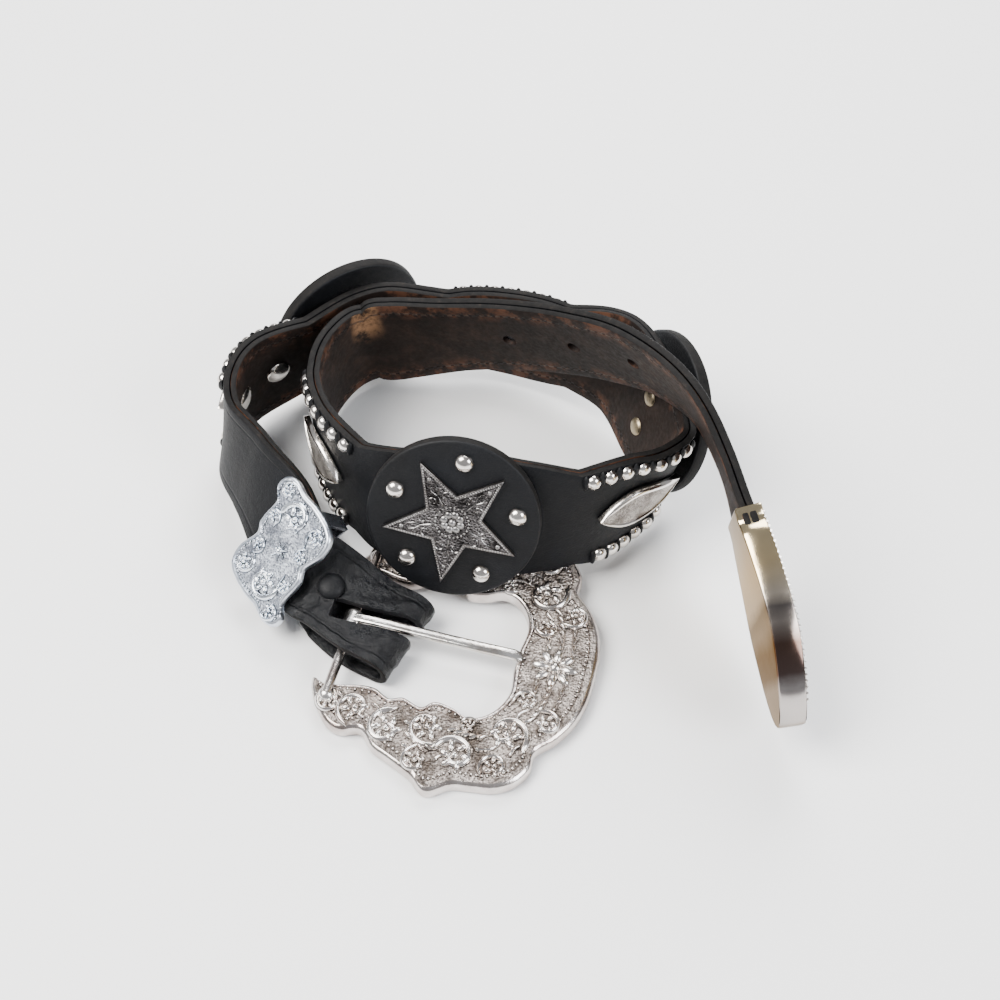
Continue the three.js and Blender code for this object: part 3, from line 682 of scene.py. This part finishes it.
def ridge(bm, path, wide, high, taper=0.7, around=4, place=FLAT):
    """A raised line along a path of points in a flat piece's own plane, sunk a little into it."""
    sunk = 0.15
    count = len(path) - 1
    small = bmesh.new()
    bmesh.ops.create_grid(small, x_segments=max(count, 6), y_segments=around, size=0.5)
    for vert in small.verts:
        t = vert.co.x + 0.5
        u = 2 * vert.co.y
        k = min(int(t * count + 1e-6), count - 1)
        here = path[k].lerp(path[k + 1], t * count - k)
        ahead = (path[k + 1] - path[k]).normalized()
        side = Vector((-ahead.y, ahead.x, 0))
        grow = math.sin(min(t * 4, 1) * math.pi / 2) * (1 - taper * t)
        spot = here + side * u * wide * grow
        spot.z = here.z - sunk + (high + sunk) * (1 - u * u) * (0.35 + 0.65 * grow)
        vert.co = place @ spot
    for face in small.faces:
        face.material_index = ON_RELIEF
    mesh = bpy.data.meshes.new('ridge')
    small.to_mesh(mesh)
    small.free()
    bm.from_mesh(mesh)
    bpy.data.meshes.remove(mesh)


def spiral(x, y, radius, start, turns, hand, z, tail):
    """A curl that winds in from its outer end, with a leaf stem before it."""
    steps = 22
    first = math.radians(start)
    out = on_circle(1, first)
    ahead = Vector((-out.y, out.x, 0)) * hand
    points = [Vector((x, y, z)) + out * (radius + 0.05 * k * k * tail / 5) - ahead * tail * k / 5
              for k in range(5, 0, -1)]
    for k in range(steps + 1):
        part = k / steps
        r = radius * (1 - 0.82 * part)
        a = first + hand * part * turns * 2 * math.pi
        points.append(Vector((x + r * math.cos(a), y + r * math.sin(a), z)))
    return points


def beads(bm, points, radius, high, z):
    """Small beads over points of an outline, all at one height."""
    for point in points:
        dome(bm, radius, high, Matrix.Translation((point.x, point.y, z)), 6, 4)


# How far in from the edge a chased plate's rim runs, and how far below its top each step lies
RIM = ((0, 1.0), (0.25, 0.45), (0.6, 0.1), (1.0, 0), (1.4, 0.05), (1.7, 0.55))
MARGIN = ((0, 1.5), (0.4, 0.9), (1.2, 0.4), (2.4, 0.05), (2.8, 0.05), (3.1, 0.55))


def spread(rows, count):
    """Points at even distances along a smooth line through an outline's rows."""
    last = 1500
    line = SmoothLine([(x, y, 0) for x, y in rows])
    fine = [line.at(k / last) for k in range(last + 1)]
    run = [0.0]
    for a, b in zip(fine, fine[1:]):
        run.append(run[-1] + (b - a).length)
    return [fine[min(bisect.bisect_left(run, run[-1] * k / count), last)] for k in range(count + 1)]


def chased_plate(outer, inner, top, thick, margin, crown, both=True):
    """A plate between two lines with a soft edge, a raised rim and a sunk, slightly domed ground.

    The outer line's rim follows the margin. The inner line has a rim of its own, or none. Where a plate
    with both is narrow, its rims shrink."""
    middles = 9
    narrow = 8
    bm = bmesh.new()
    columns = len(RIM) * (2 if both else 1) + middles
    made = bmesh.ops.create_grid(bm, x_segments=len(outer) - 1, y_segments=columns - 1, size=0.5)
    for vert in made['verts']:
        k = round((vert.co.x + 0.5) * (len(outer) - 1))
        j = round((vert.co.y + 0.5) * (columns - 1))
        a, b = outer[k], inner[k]
        wide = (b - a).length
        reach = min(1, wide / narrow) if both else 1
        if j < len(RIM):
            inset, drop = margin[j]
            share = inset * reach / max(wide, 0.01)
        elif both and j >= columns - len(RIM):
            inset, drop = RIM[columns - 1 - j]
            share = 1 - inset * reach / max(wide, 0.01)
        else:
            first = margin[-1][0] * reach / max(wide, 0.01)
            last = RIM[-1][0] * reach / max(wide, 0.01) if both else 0
            part = (j - len(RIM) + 1) / (middles + (1 if both else 0))
            share = first + (1 - first - last) * part
            drop = RIM[-1][1] - crown * (4 * part * (1 - part) if both else 1 - (1 - part) ** 2)
        spot = a.lerp(b, share)
        vert.co = (spot.x, spot.y, top - drop)
    for face in bm.faces:
        # In hundredths of a millimetre over the top. The faces at the rim's highest line stay plain
        heights = [round((v.co.z - top) * 100) for v in face.verts]
        if max(heights) <= -3 and min(heights) >= -56:
            face.material_index = ON_GROUND
    bmesh.ops.remove_doubles(bm, verts=bm.verts, dist=0.02)
    for vert in extruded(bm, bm.faces[:]):
        vert.co.z = top - thick
    bmesh.ops.recalc_face_normals(bm, faces=bm.faces)
    for face in bm.faces:
        if abs(face.normal.z) < 0.9 or face.normal.z < 0:
            face.material_index = ON_RIM
    return bm


def lozenge(number, s):
    """A pointed oval plate with a raised rim and a stippled face, bent to the strap."""
    steps = 80
    half = LOZENGE_LONG / 2
    upper = []
    for k in range(steps + 1):
        x = -half + 2 * half * k / steps
        wide = max(LOZENGE_WIDE / 2 * max(1 - (x / half) ** 2, 0) ** 0.9, 0.25)
        upper.append(Vector((x, wide, 0)))
    lower = [Vector((p.x, -p.y, 0)) for p in upper]
    bm = chased_plate(upper, lower, LEATHER_TOP + SEAT + LOZENGE_HIGH, LOZENGE_THICK, RIM, 0.25)
    for vert in bm.verts:
        x, v, w = vert.co
        vert.co = at(s + x, v, w)
    bmesh.ops.recalc_face_normals(bm, faces=bm.faces)
    piece(f'lozenge_{number}_plate', bm, [NICKEL, PLATE], [f'lozenge_{number}'])


def disc(number, turned, base):
    """A thick round of leather with soft edges."""
    bm = bmesh.new()
    bmesh.ops.create_cone(bm, cap_ends=True, segments=72, radius1=DISC_RADIUS, radius2=DISC_RADIUS,
                          depth=DISC_THICK)
    soften(bm, corners(bm), 0.9, 3)
    for face in bm.faces:
        if abs(face.normal.z) < 0.6:
            face.material_index = 1
    piece(f'disc_{number}', bm, [DISC_LOOK, EDGE_LOOK], [f'concho_disc_{number}'],
          place=turned @ Matrix.Translation((0, 0, base + DISC_THICK / 2)))


def star_plate():
    """A five-pointed star with a narrow rim round its sunk ground, and its ten corners in order."""
    bm = bmesh.new()
    made = bmesh.ops.create_circle(bm, cap_ends=True, segments=10, radius=STAR_RADIUS)
    for vert in made['verts']:
        angle = math.atan2(vert.co.y, vert.co.x)
        k = round((angle - math.pi / 2) / (math.pi / 5))
        reach = STAR_RADIUS * (STAR_NOTCH if k % 2 else 1)
        vert.co = on_circle(reach, math.pi / 2 + k * math.pi / 5)
    points = sorted((v.co.copy() for v in made['verts']), key=lambda c: math.atan2(c.y, c.x))
    bmesh.ops.translate(bm, vec=(0, 0, STAR_THICK), verts=extruded(bm, bm.faces[:]))
    bmesh.ops.recalc_face_normals(bm, faces=bm.faces)
    soften(bm, [e for f in bm.faces if f.normal.z > 0.9 for e in f.edges], 0.3, 2)
    top = [max(bm.faces, key=lambda f: f.calc_area() * (f.normal.z > 0.9))]
    bmesh.ops.inset_region(bm, faces=top, thickness=0.9, depth=0)
    bmesh.ops.inset_region(bm, faces=top, thickness=0.15, depth=-0.3)
    for face in top:
        face.material_index = ON_GROUND
    return bm, points


def star(number, place):
    """A star plate with leaves on its arms, a rosette at its middle and beads along its rim."""
    bm, points = star_plate()
    level = Vector((0, 0, STAR_GROUND))
    for a, b in zip(points, points[1:] + points[:1]):
        steps = max(int((b - a).length / 0.85), 2)
        beads(bm, [a.lerp(b, (k + 0.5) / steps) * 0.93 for k in range(steps)], 0.36, 0.35, 1.45)
    for k in range(5):
        angle = math.pi / 2 + k * 2 * math.pi / 5
        out = on_circle(1, angle)
        side = Vector((-out.y, out.x, 0))
        for hand in (1, -1):
            low = out * 8.2 + side * 2.1 * hand
            start = math.degrees(angle) + 90 * hand
            ridge(bm, spiral(low.x, low.y, 1.7, start, 0.9, -hand, STAR_GROUND, 1.6), 0.42, 0.42)
            ridge(bm, [out * 9.2 + level, out * 11.3 + side * 1.0 * hand + level,
                       out * 13.2 + side * 0.9 * hand + level], 0.4, 0.4)
        dome(bm, 0.75, 0.6, Matrix.Translation(out * 15 + level), 12, 6)
        ridge(bm, [out * 5.4 + level, out * 7.4 + level, out * 9.6 + level], 0.5, 0.5)
    for k in range(8):
        dome(bm, 1.25, 0.7, Matrix.Translation(on_circle(2.5, k * math.pi / 4, STAR_GROUND)), 12, 6)
    dome(bm, 1.3, 1.1, Matrix.Translation(level), 14, 6)
    for k in range(26):
        dome(bm, 0.42, 0.5, Matrix.Translation(on_circle(4.9, k * 2 * math.pi / 26, STAR_GROUND)), 6, 4)
    piece(f'star_{number}', bm, [ANTIQUE, ANTIQUE_GROUND, ANTIQUE_CHASED], [f'concho_star_{number}'],
          place=place, smooth=50)


def spots(number, place):
    """The five domed nailheads between a star's arms."""
    bm = bmesh.new()
    for k in range(5):
        angle = (k + 0.5) * 2 * math.pi / 5 + math.pi / 2
        dome(bm, *SPOT, Matrix.Translation(on_circle(SPOT_CIRCLE, angle, 0.05)), 28, 14)
    piece(f'spots_{number}', bm, [NICKEL] * 3, [f'spot_{number}_{k + 1}' for k in range(5)],
          place=place)


def disc_and_star(number, s):
    """A disc on the strap, with its star and its spots."""
    base = LEATHER_TOP + SEAT + DISC_SEAT + DISC_LIFT[number - 1]
    turned = seat(s, 0, 0) @ Matrix.Rotation(math.radians(DISC_TURN[number - 1]), 4, 'Y')
    disc(number, turned, base)
    place = turned @ Matrix.Translation((0, 0, base + DISC_THICK + STAR_SEAT))
    place = place @ Matrix.Rotation(math.radians(STAR_ROLL), 4, 'Z')
    star(number, place)
    spots(number, place)


def stud_rows(number, s):
    """The nailheads along both edges of a lozenge's scallop, and the raised lace between them."""
    base = LEATHER_TOP + GAP
    for side, word in ((1, 'upper'), (-1, 'lower')):
        def across(p):
            return side * (half_width(p) - EDGE_INSET)

        def place(k):
            """The distance of the spot that is k pitches from the middle, measured along the row."""
            left = abs(k) * STUD_PITCH
            p = s
            while left > 0:
                ahead = p + math.copysign(0.1, k)
                left -= (at(p, across(p), base) - at(ahead, across(ahead), base)).length
                p = ahead
            return p

        studs = bmesh.new()
        for k in range(STUDS_IN_ROW):
            p = place(k - 3)
            dome(studs, *STUD, seat(p, across(p), base - 0.1), 24, 12)
        piece(f'studs_{number}_{word}', studs, [NICKEL] * 3, [f'stud_row_{number}_{word}'])
        lace = bmesh.new()
        for k in range(STUDS_IN_ROW + 1):
            p = place(k - 3.5)
            loop = seat(p, side * (half_width(p) - LACE_INSET), base - 0.1)
            dome(lace, 1, 1, loop @ Matrix.Diagonal((*LACE_LOOP, 1)), 12, 8)
        piece(f'lace_{number}_{word}', lace, [DISC_LOOK] * 3)


def rivet_backs():
    """The rivets' heads on the lining, behind the discs and the lozenges, and the cap on the tab."""
    def head(name, node, size, place, faces, look):
        bm = bmesh.new()
        dome(bm, *size, place, *faces)
        piece(name, bm, [look] * 3, [node])

    turn = Matrix.Rotation(math.pi, 4, 'X')
    under = LINING_LOW - 0.1
    for i, s in enumerate(discs):
        for v, word in ((DISC_RIVETS, 'upper'), (-DISC_RIVETS, 'lower')):
            head(f'brass_back_{i + 1}_{word}', f'rivet_disc_{i + 1}_{word}', BRASS_BACK,
                 seat(s, v, under) @ turn, (24, 8), BRASS)
    for i, s in enumerate(lozenges):
        for along, word in ((-LOZENGE_RIVETS, 'first'), (LOZENGE_RIVETS, 'second')):
            head(f'silver_back_{i + 1}_{word}', f'rivet_lozenge_{i + 1}_{word}', SILVER_BACK,
                 seat(s + along, 0, under - 0.2) @ turn, (28, 8), NICKEL)
    head('tab_cap', 'cap_rivet', CAP, seat(CAP_AT, 0, LEATHER_TOP + 0.3), (32, 12), DISC_LOOK)


# Half of the buckle frame's outer and inner outlines, from the bar's end to the middle: x, y
OUTER = ((-6, 19.5), (-5.2, 23), (-2, 28), (2.2, 32.5), (6.6, 34), (12, 32.5), (17, 37), (21.5, 39),
         (29, 42.5), (35, 46.5), (41.5, 42.8), (46.6, 42), (53, 41), (58, 38), (61.2, 33), (61.5, 27.5),
         (66, 22.5), (69.8, 16), (71.8, 8.5), (72.2, 2))
INNER = ((-1, 21.5), (3.5, 20), (8.5, 18.8), (12.6, 18.8), (17.5, 21), (21, 19.8), (27, 21.5), (30, 19),
         (35, 19.5), (40, 21.5), (44, 20.5), (47.8, 16.8), (50, 11), (49.3, 3))
# Scrolls on one arm of the buckle: centre x and y, radius, start angle, turns, hand, stem
BUCKLE_CURLS = (
    (1.4, 26.3, 3.8, 200, 0.9, -1, 2.5), (9.0, 26.4, 5.4, 120, 0.95, 1, 3),
    (19.4, 30.6, 6.0, 260, 0.95, -1, 3), (30.4, 27.4, 5.8, 70, 0.95, 1, 3),
    (30.0, 38.4, 4.2, 240, 0.9, -1, 3), (40.2, 34.2, 6.2, 200, 0.95, 1, 3),
    (41.4, 24.6, 2.8, 300, 0.9, -1, 2), (51.8, 35.0, 4.4, 150, 0.95, 1, 3),
    (52.4, 24.4, 6.4, 20, 0.95, -1, 3), (62.4, 18.6, 4.2, 250, 0.95, 1, 3),
    (55.6, 12.8, 3.8, 180, 0.9, 1, 2),
)


def scroll(bm, x, y, radius, start, turns, hand, tail, level, high):
    """A volute with petals fanned inside it and an eye at its middle."""
    ridge(bm, spiral(x, y, radius, start, turns, hand, level, tail), 0.21 * radius + 0.15, high, 0.3, 6)
    heart = Vector((x, y, level))
    for k in range(6):
        angle = math.radians(start + 20 + 60 * k)
        petal = Matrix.Translation(heart + on_circle(1, angle) * radius * 0.5)
        petal = petal @ Matrix.Rotation(angle + 0.45 * hand, 4, 'Z')
        dome(bm, 1, high * 0.95, petal @ Matrix.Diagonal((radius * 0.31, radius * 0.17, 1, 1)), 12, 6)
    dome(bm, 0.19 * radius, high * 1.15, Matrix.Translation(heart), 12, 6)


def leaf(bm, start, heading, length, bend, wide, high):
    """A tapering leaf that bends to one side, with a vein."""
    path = []
    for k in range(7):
        ahead = on_circle(1, heading + bend * (k / 6))
        path.append((path[-1] if path else start) + ahead * length / 6)
    ridge(bm, path, wide, high, 0.75, 6)
    ridge(bm, path[:6], 0.16, high * 1.35, 0.5)


def leaves_between(bm, outer, inner, side):
    """Leaves over the ground that one arm's scrolls and the flower leave free."""
    flower = Vector((FLOWER_AT, 0, 0))
    for k in range(6, 147, 4):
        for share, turn in ((0.34, -1), (0.5, 1), (0.68, -1)):
            a, b = outer[k], inner[k]
            if (b - a).length < 9:
                continue
            spot = a.lerp(b, share)
            if any((spot - Vector((x, y, 0))).length < radius * 0.92 for x, y, radius, *_ in BUCKLE_CURLS):
                continue
            if (spot - flower).length < FLOWER_CLEAR:
                continue
            ahead = outer[k + 2] - outer[k - 2]
            heading = (math.atan2(ahead.y, ahead.x) + 0.7 * turn) * side
            start = Vector((spot.x, spot.y * side, FRAME_GROUND))
            leaf(bm, start - on_circle(1, heading) * 1.8, heading, 4.6, -1.1 * turn * side, 1.15, 1.2)


def buckle():
    """The horseshoe frame, chased all over, with the bar across its ends."""
    outer = spread(list(OUTER) + [(x, -y) for x, y in OUTER[::-1]], FRAME_STATIONS)
    inner = spread(list(INNER) + [(x, -y) for x, y in INNER[::-1]], FRAME_STATIONS)
    bm = chased_plate(outer, inner, FRAME_TOP, FRAME_TOP - 0.2, MARGIN, 0.12)
    for side in (1, -1):
        for x, y, radius, start, turns, hand, tail in BUCKLE_CURLS:
            scroll(bm, x, y * side, radius, start * side, turns, hand * side, tail, FRAME_GROUND, 1.25)
        leaves_between(bm, outer, inner, side)
    flower = Vector((FLOWER_AT, 0, FRAME_GROUND))
    for k in range(8):
        angle = k * math.pi / 4
        out = on_circle(1, angle)
        petal = Matrix.Translation(flower + out * 4.2) @ Matrix.Rotation(angle, 4, 'Z')
        dome(bm, 1, 1.25, petal @ Matrix.Diagonal((2.7, 1.45, 1, 1)), 16, 8)
        ridge(bm, [flower + out * 2, flower + out * 4, flower + out * 6.2], 0.22, 1.75, 0.3)
    dome(bm, 1.9, 1.7, Matrix.Translation(flower), 18, 8)
    for k in range(0, FRAME_STATIONS, 2):
        ahead = (inner[k] - outer[k]).normalized()
        reach = min(1, (inner[k] - outer[k]).length / 8)
        beads(bm, [outer[k] + ahead * 3.6 * reach], 0.55, 0.75, FRAME_TOP - 0.58)
        if k % 4 == 0:
            beads(bm, [inner[k] - ahead * 2.1 * reach], 0.46, 0.7, FRAME_TOP - 0.58)
    bmesh.ops.translate(bm, vec=(0, BUCKLE['middle'], 0), verts=bm.verts)
    rod = Matrix.Translation((0, BUCKLE['middle'], BAR_HEIGHT)) @ Matrix.Rotation(math.pi / 2, 4, 'X')
    bmesh.ops.create_cone(bm, cap_ends=True, segments=24, radius1=BAR_RADIUS, radius2=BAR_RADIUS,
                          depth=BAR_LONG, matrix=rod)
    for y in (BAR_ENDS_AT, -BAR_ENDS_AT):
        dome(bm, *BAR_END, Matrix.Translation((0, y + BUCKLE['middle'], FRAME_TOP - 0.4)), 20, 10)
    piece('buckle_frame_engraved', bm, [SILVER, GROUND, CHASED], ['buckle_frame'],
          place=buckle_place, smooth=45)


def tongue():
    """The tongue, lying on the frame at rest, with its eye round the bar."""
    bm = bmesh.new()
    eye = BAR_RADIUS + GAP + EYE_WALL
    rest = FRAME_TOP + GAP - BAR_HEIGHT
    rows = ((0, -0.4), (0, eye), (7, eye), (29.7, rest + 2.6), (48.5, rest + 2.2), (51, rest + 1),
            (51, rest), (43.5, rest), (8, 0.6))
    face = bm.faces.new([bm.verts.new((x, -TONGUE_WIDE / 2, z)) for x, z in rows])
    bmesh.ops.translate(bm, vec=(0, TONGUE_WIDE, 0), verts=extruded(bm, [face]))
    bmesh.ops.recalc_face_normals(bm, faces=bm.faces)
    soften(bm, corners(bm, 1.2), 0.8, 3)
    section = bmesh.ops.create_circle(bm, segments=4, radius=1)['verts']
    for vert, (x, y) in zip(section, ((1.7, -2.1), (2.9, -2.1), (2.9, 2.1), (1.7, 2.1))):
        vert.co = (x, y, 0)
    edges = list(dict.fromkeys(e for v in section for e in v.link_edges))
    bmesh.ops.spin(bm, geom=edges + section, cent=(0, 0, 0), axis=(0, 1, 0), angle=2 * math.pi,
                   steps=28, use_merge=True)
    bmesh.ops.remove_doubles(bm, verts=bm.verts, dist=0.001)
    bmesh.ops.recalc_face_normals(bm, faces=bm.faces)
    bmesh.ops.translate(bm, vec=(0, 0, BAR_HEIGHT), verts=bm.verts)
    piece('tongue_blade', bm, [BARE], ['buckle_tongue'], body='tongue', place=buckle_place)


# Half of the keeper's outline. The other half is the same, turned half round: x, y
KEEPER = ((-13, 1), (-14.3, 7.5), (-17.8, 9.5), (-18, 13), (-14.5, 15.5), (-9, 15.8), (-3.5, 17.2),
          (4.5, 17.6), (8, 16.3), (10.4, 11.5), (10, 4), (12.2, 1.5))
KEEPER_CURLS = (
    (-4.6, 9.2, 5.4, 200, 0.95, -1, 2), (-13.4, 11.6, 3.0, 90, 0.9, 1, 2.4),
    (4.8, 12.2, 3.6, 240, 0.9, -1, 2), (-10.4, 3.6, 2.6, 0, 0.9, 1, 2), (6.4, 5.2, 2.7, 130, 0.9, 1, 2),
)


def keeper():
    """The keeper's chased plate and the band that goes round the strap."""
    rows = list(KEEPER) + [(-x, -y) for x, y in KEEPER]
    outer = spread(rows + rows[:1], KEEPER_STATIONS)
    centre = [point * 0.02 for point in outer]
    bm = chased_plate(outer, centre, KEEPER_TOP, 1.9, RIM, 0.1, False)
    level = KEEPER_TOP - 0.45
    for side, half_turn in ((1, 0), (-1, 180)):
        for x, y, radius, start, turns, hand, tail in KEEPER_CURLS:
            scroll(bm, x * side, y * side, radius, start + half_turn, turns, hand, tail, level, 1.05)
    heart = Vector((0, 0, level))
    for k in range(7):
        out = on_circle(1, k * 2 * math.pi / 7)
        ridge(bm, [heart + out * 0.8, heart + out * 1.6, heart + out * 3.0], 0.8, 0.95, 0.5)
    dome(bm, 1.2, 1.3, Matrix.Translation(heart), 14, 6)
    beads(bm, [point * (1 - 2.1 / point.length) for point in outer[::3]], 0.42, 0.55, KEEPER_TOP - 0.6)
    # The band: its two walls and its underside, centre and size
    for y, z, wide, high in ((BAND_HALF, 0.6, BAND_WALL, 11.2), (-BAND_HALF, 0.6, BAND_WALL, 11.2),
                             (0, BAND_LOW, 34.2, BAND_WALL)):
        wall = Matrix.Translation((0, y, z)) @ Matrix.Diagonal((BAND_LONG, wide, high, 1))
        bmesh.ops.create_cube(bm, size=1, matrix=wall)
    place = seat(KEEPER_AT, 0, 0) @ Matrix.Rotation(math.radians(3), 4, 'X')
    piece('keeper_engraved', bm, [KEEPER_SILVER, KEEPER_GROUND, KEEPER_CHASED], ['keeper'],
          place=place, smooth=45)


# Distance from the tip's start, half width
TIP = ((0, 16.5), (4, 15), (9, 16.8), (20, 17.2), (32, 16.8), (42, 15.2), (50, 12), (56, 7.5), (60, 2))


def tip():
    """The silver tip over the strap's end, with scrolls and beads on its outer face."""
    start = LENGTH - TIP_LONG
    line = SmoothLine([(x, half, 0) for x, half in TIP])
    table = [line.at(k / 200) for k in range(201)]

    def half_of(s):
        x = min(max(s - start, 0), TIP_LONG)
        for a, b in zip(table, table[1:]):
            if a.x <= x <= b.x:
                return a.y + (b.y - a.y) * (x - a.x) / max(b.x - a.x, 1e-6)
        return table[-1].y

    outer = LEATHER_TOP + GAP
    inner = LINING_LOW - GAP
    bm = layer(start, LENGTH, 0.9, 20, half_of, inner - TIP_BACK_WALL, outer + TIP_FACE_WALL, 0.7, None, 0)
    piece('tip_shell', bm, [MIRROR], ['strap_tip'])
    relief = bmesh.new()
    for k in range(7):
        for side in (1, -1):
            s = start + 6 + 7.2 * k
            wide = half_of(s) * 0.5
            path = spiral(0, 0, min(wide * 0.6, 3.6), 90 * side, 1.1, side if k % 2 else -side, 0, 2.5)
            ridge(relief, path, 1.0, 0.8, 0.6, place=seat(s, wide * side, outer + 1.55))
    for k in range(34):
        s = start + 3 + 1.55 * k
        dome(relief, 0.5, 0.8, seat(s, half_of(s) - 0.6, outer + 1.35), 8, 4)
        dome(relief, 0.5, 0.8, seat(s, 0.6 - half_of(s), outer + 1.35), 8, 4)
    piece('tip_scrolls', relief, [BARE] * 3)


# Stage
def stage():
    """A pale floor, three soft lamps and a camera at the photograph's angle."""
    look = Finish('pale floor', roughness=0.6)
    look.set('Base Color', look.ramp(look.noise(3, 2), (0.4, (0.93, 0.93, 0.93)), (0.6, (0.95, 0.95, 0.95))))
    bm = bmesh.new()
    bmesh.ops.create_grid(bm, x_segments=1, y_segments=1, size=6)
    floor = object_of('floor', bm)
    floor.data.materials.append(look.material)
    world = bpy.data.worlds.new('studio')
    world.use_nodes = True
    world.node_tree.nodes['Background'].inputs['Color'].default_value = (0.93, 0.95, 1, 1)
    world.node_tree.nodes['Background'].inputs['Strength'].default_value = 0.42
    bpy.context.scene.world = world
    # Name, place, size, power, colour
    lamps = (('key', (-0.6, -0.15, 0.95), 0.7, 30, (1, 0.98, 0.95)),
             ('fill', (0.8, -0.5, 0.7), 0.5, 13, (0.95, 0.97, 1)),
             ('back', (0.15, 0.85, 0.8), 0.7, 21, (1, 1, 1)))
    for name, place, size, power, colour in lamps:
        data = bpy.data.lights.new(name, 'AREA')
        data.size = size
        data.energy = power
        data.color = colour
        lamp = bpy.data.objects.new(name, data)
        lamp.location = place
        lamp.rotation_euler = (Vector((0, 0, 0.02)) - Vector(place)).to_track_quat('-Z', 'Y').to_euler()
        bpy.context.scene.collection.objects.link(lamp)
    lens = bpy.data.cameras.new('camera')
    lens.lens = LENS
    lens.sensor_width = 36
    eye = bpy.data.objects.new('camera', lens)
    eye.location = (EYE - MIDDLE) * TO_METRES
    eye.rotation_euler = (math.radians(EYE_TILT), 0, 0)
    bpy.context.scene.collection.objects.link(eye)
    bpy.context.scene.camera = eye


strap()
for i, s in enumerate(discs):
    disc_and_star(i + 1, s)
for i, s in enumerate(lozenges):
    lozenge(i + 1, s)
    stud_rows(i + 1, s)
rivet_backs()
buckle()
tongue()
keeper()
tip()
stage()
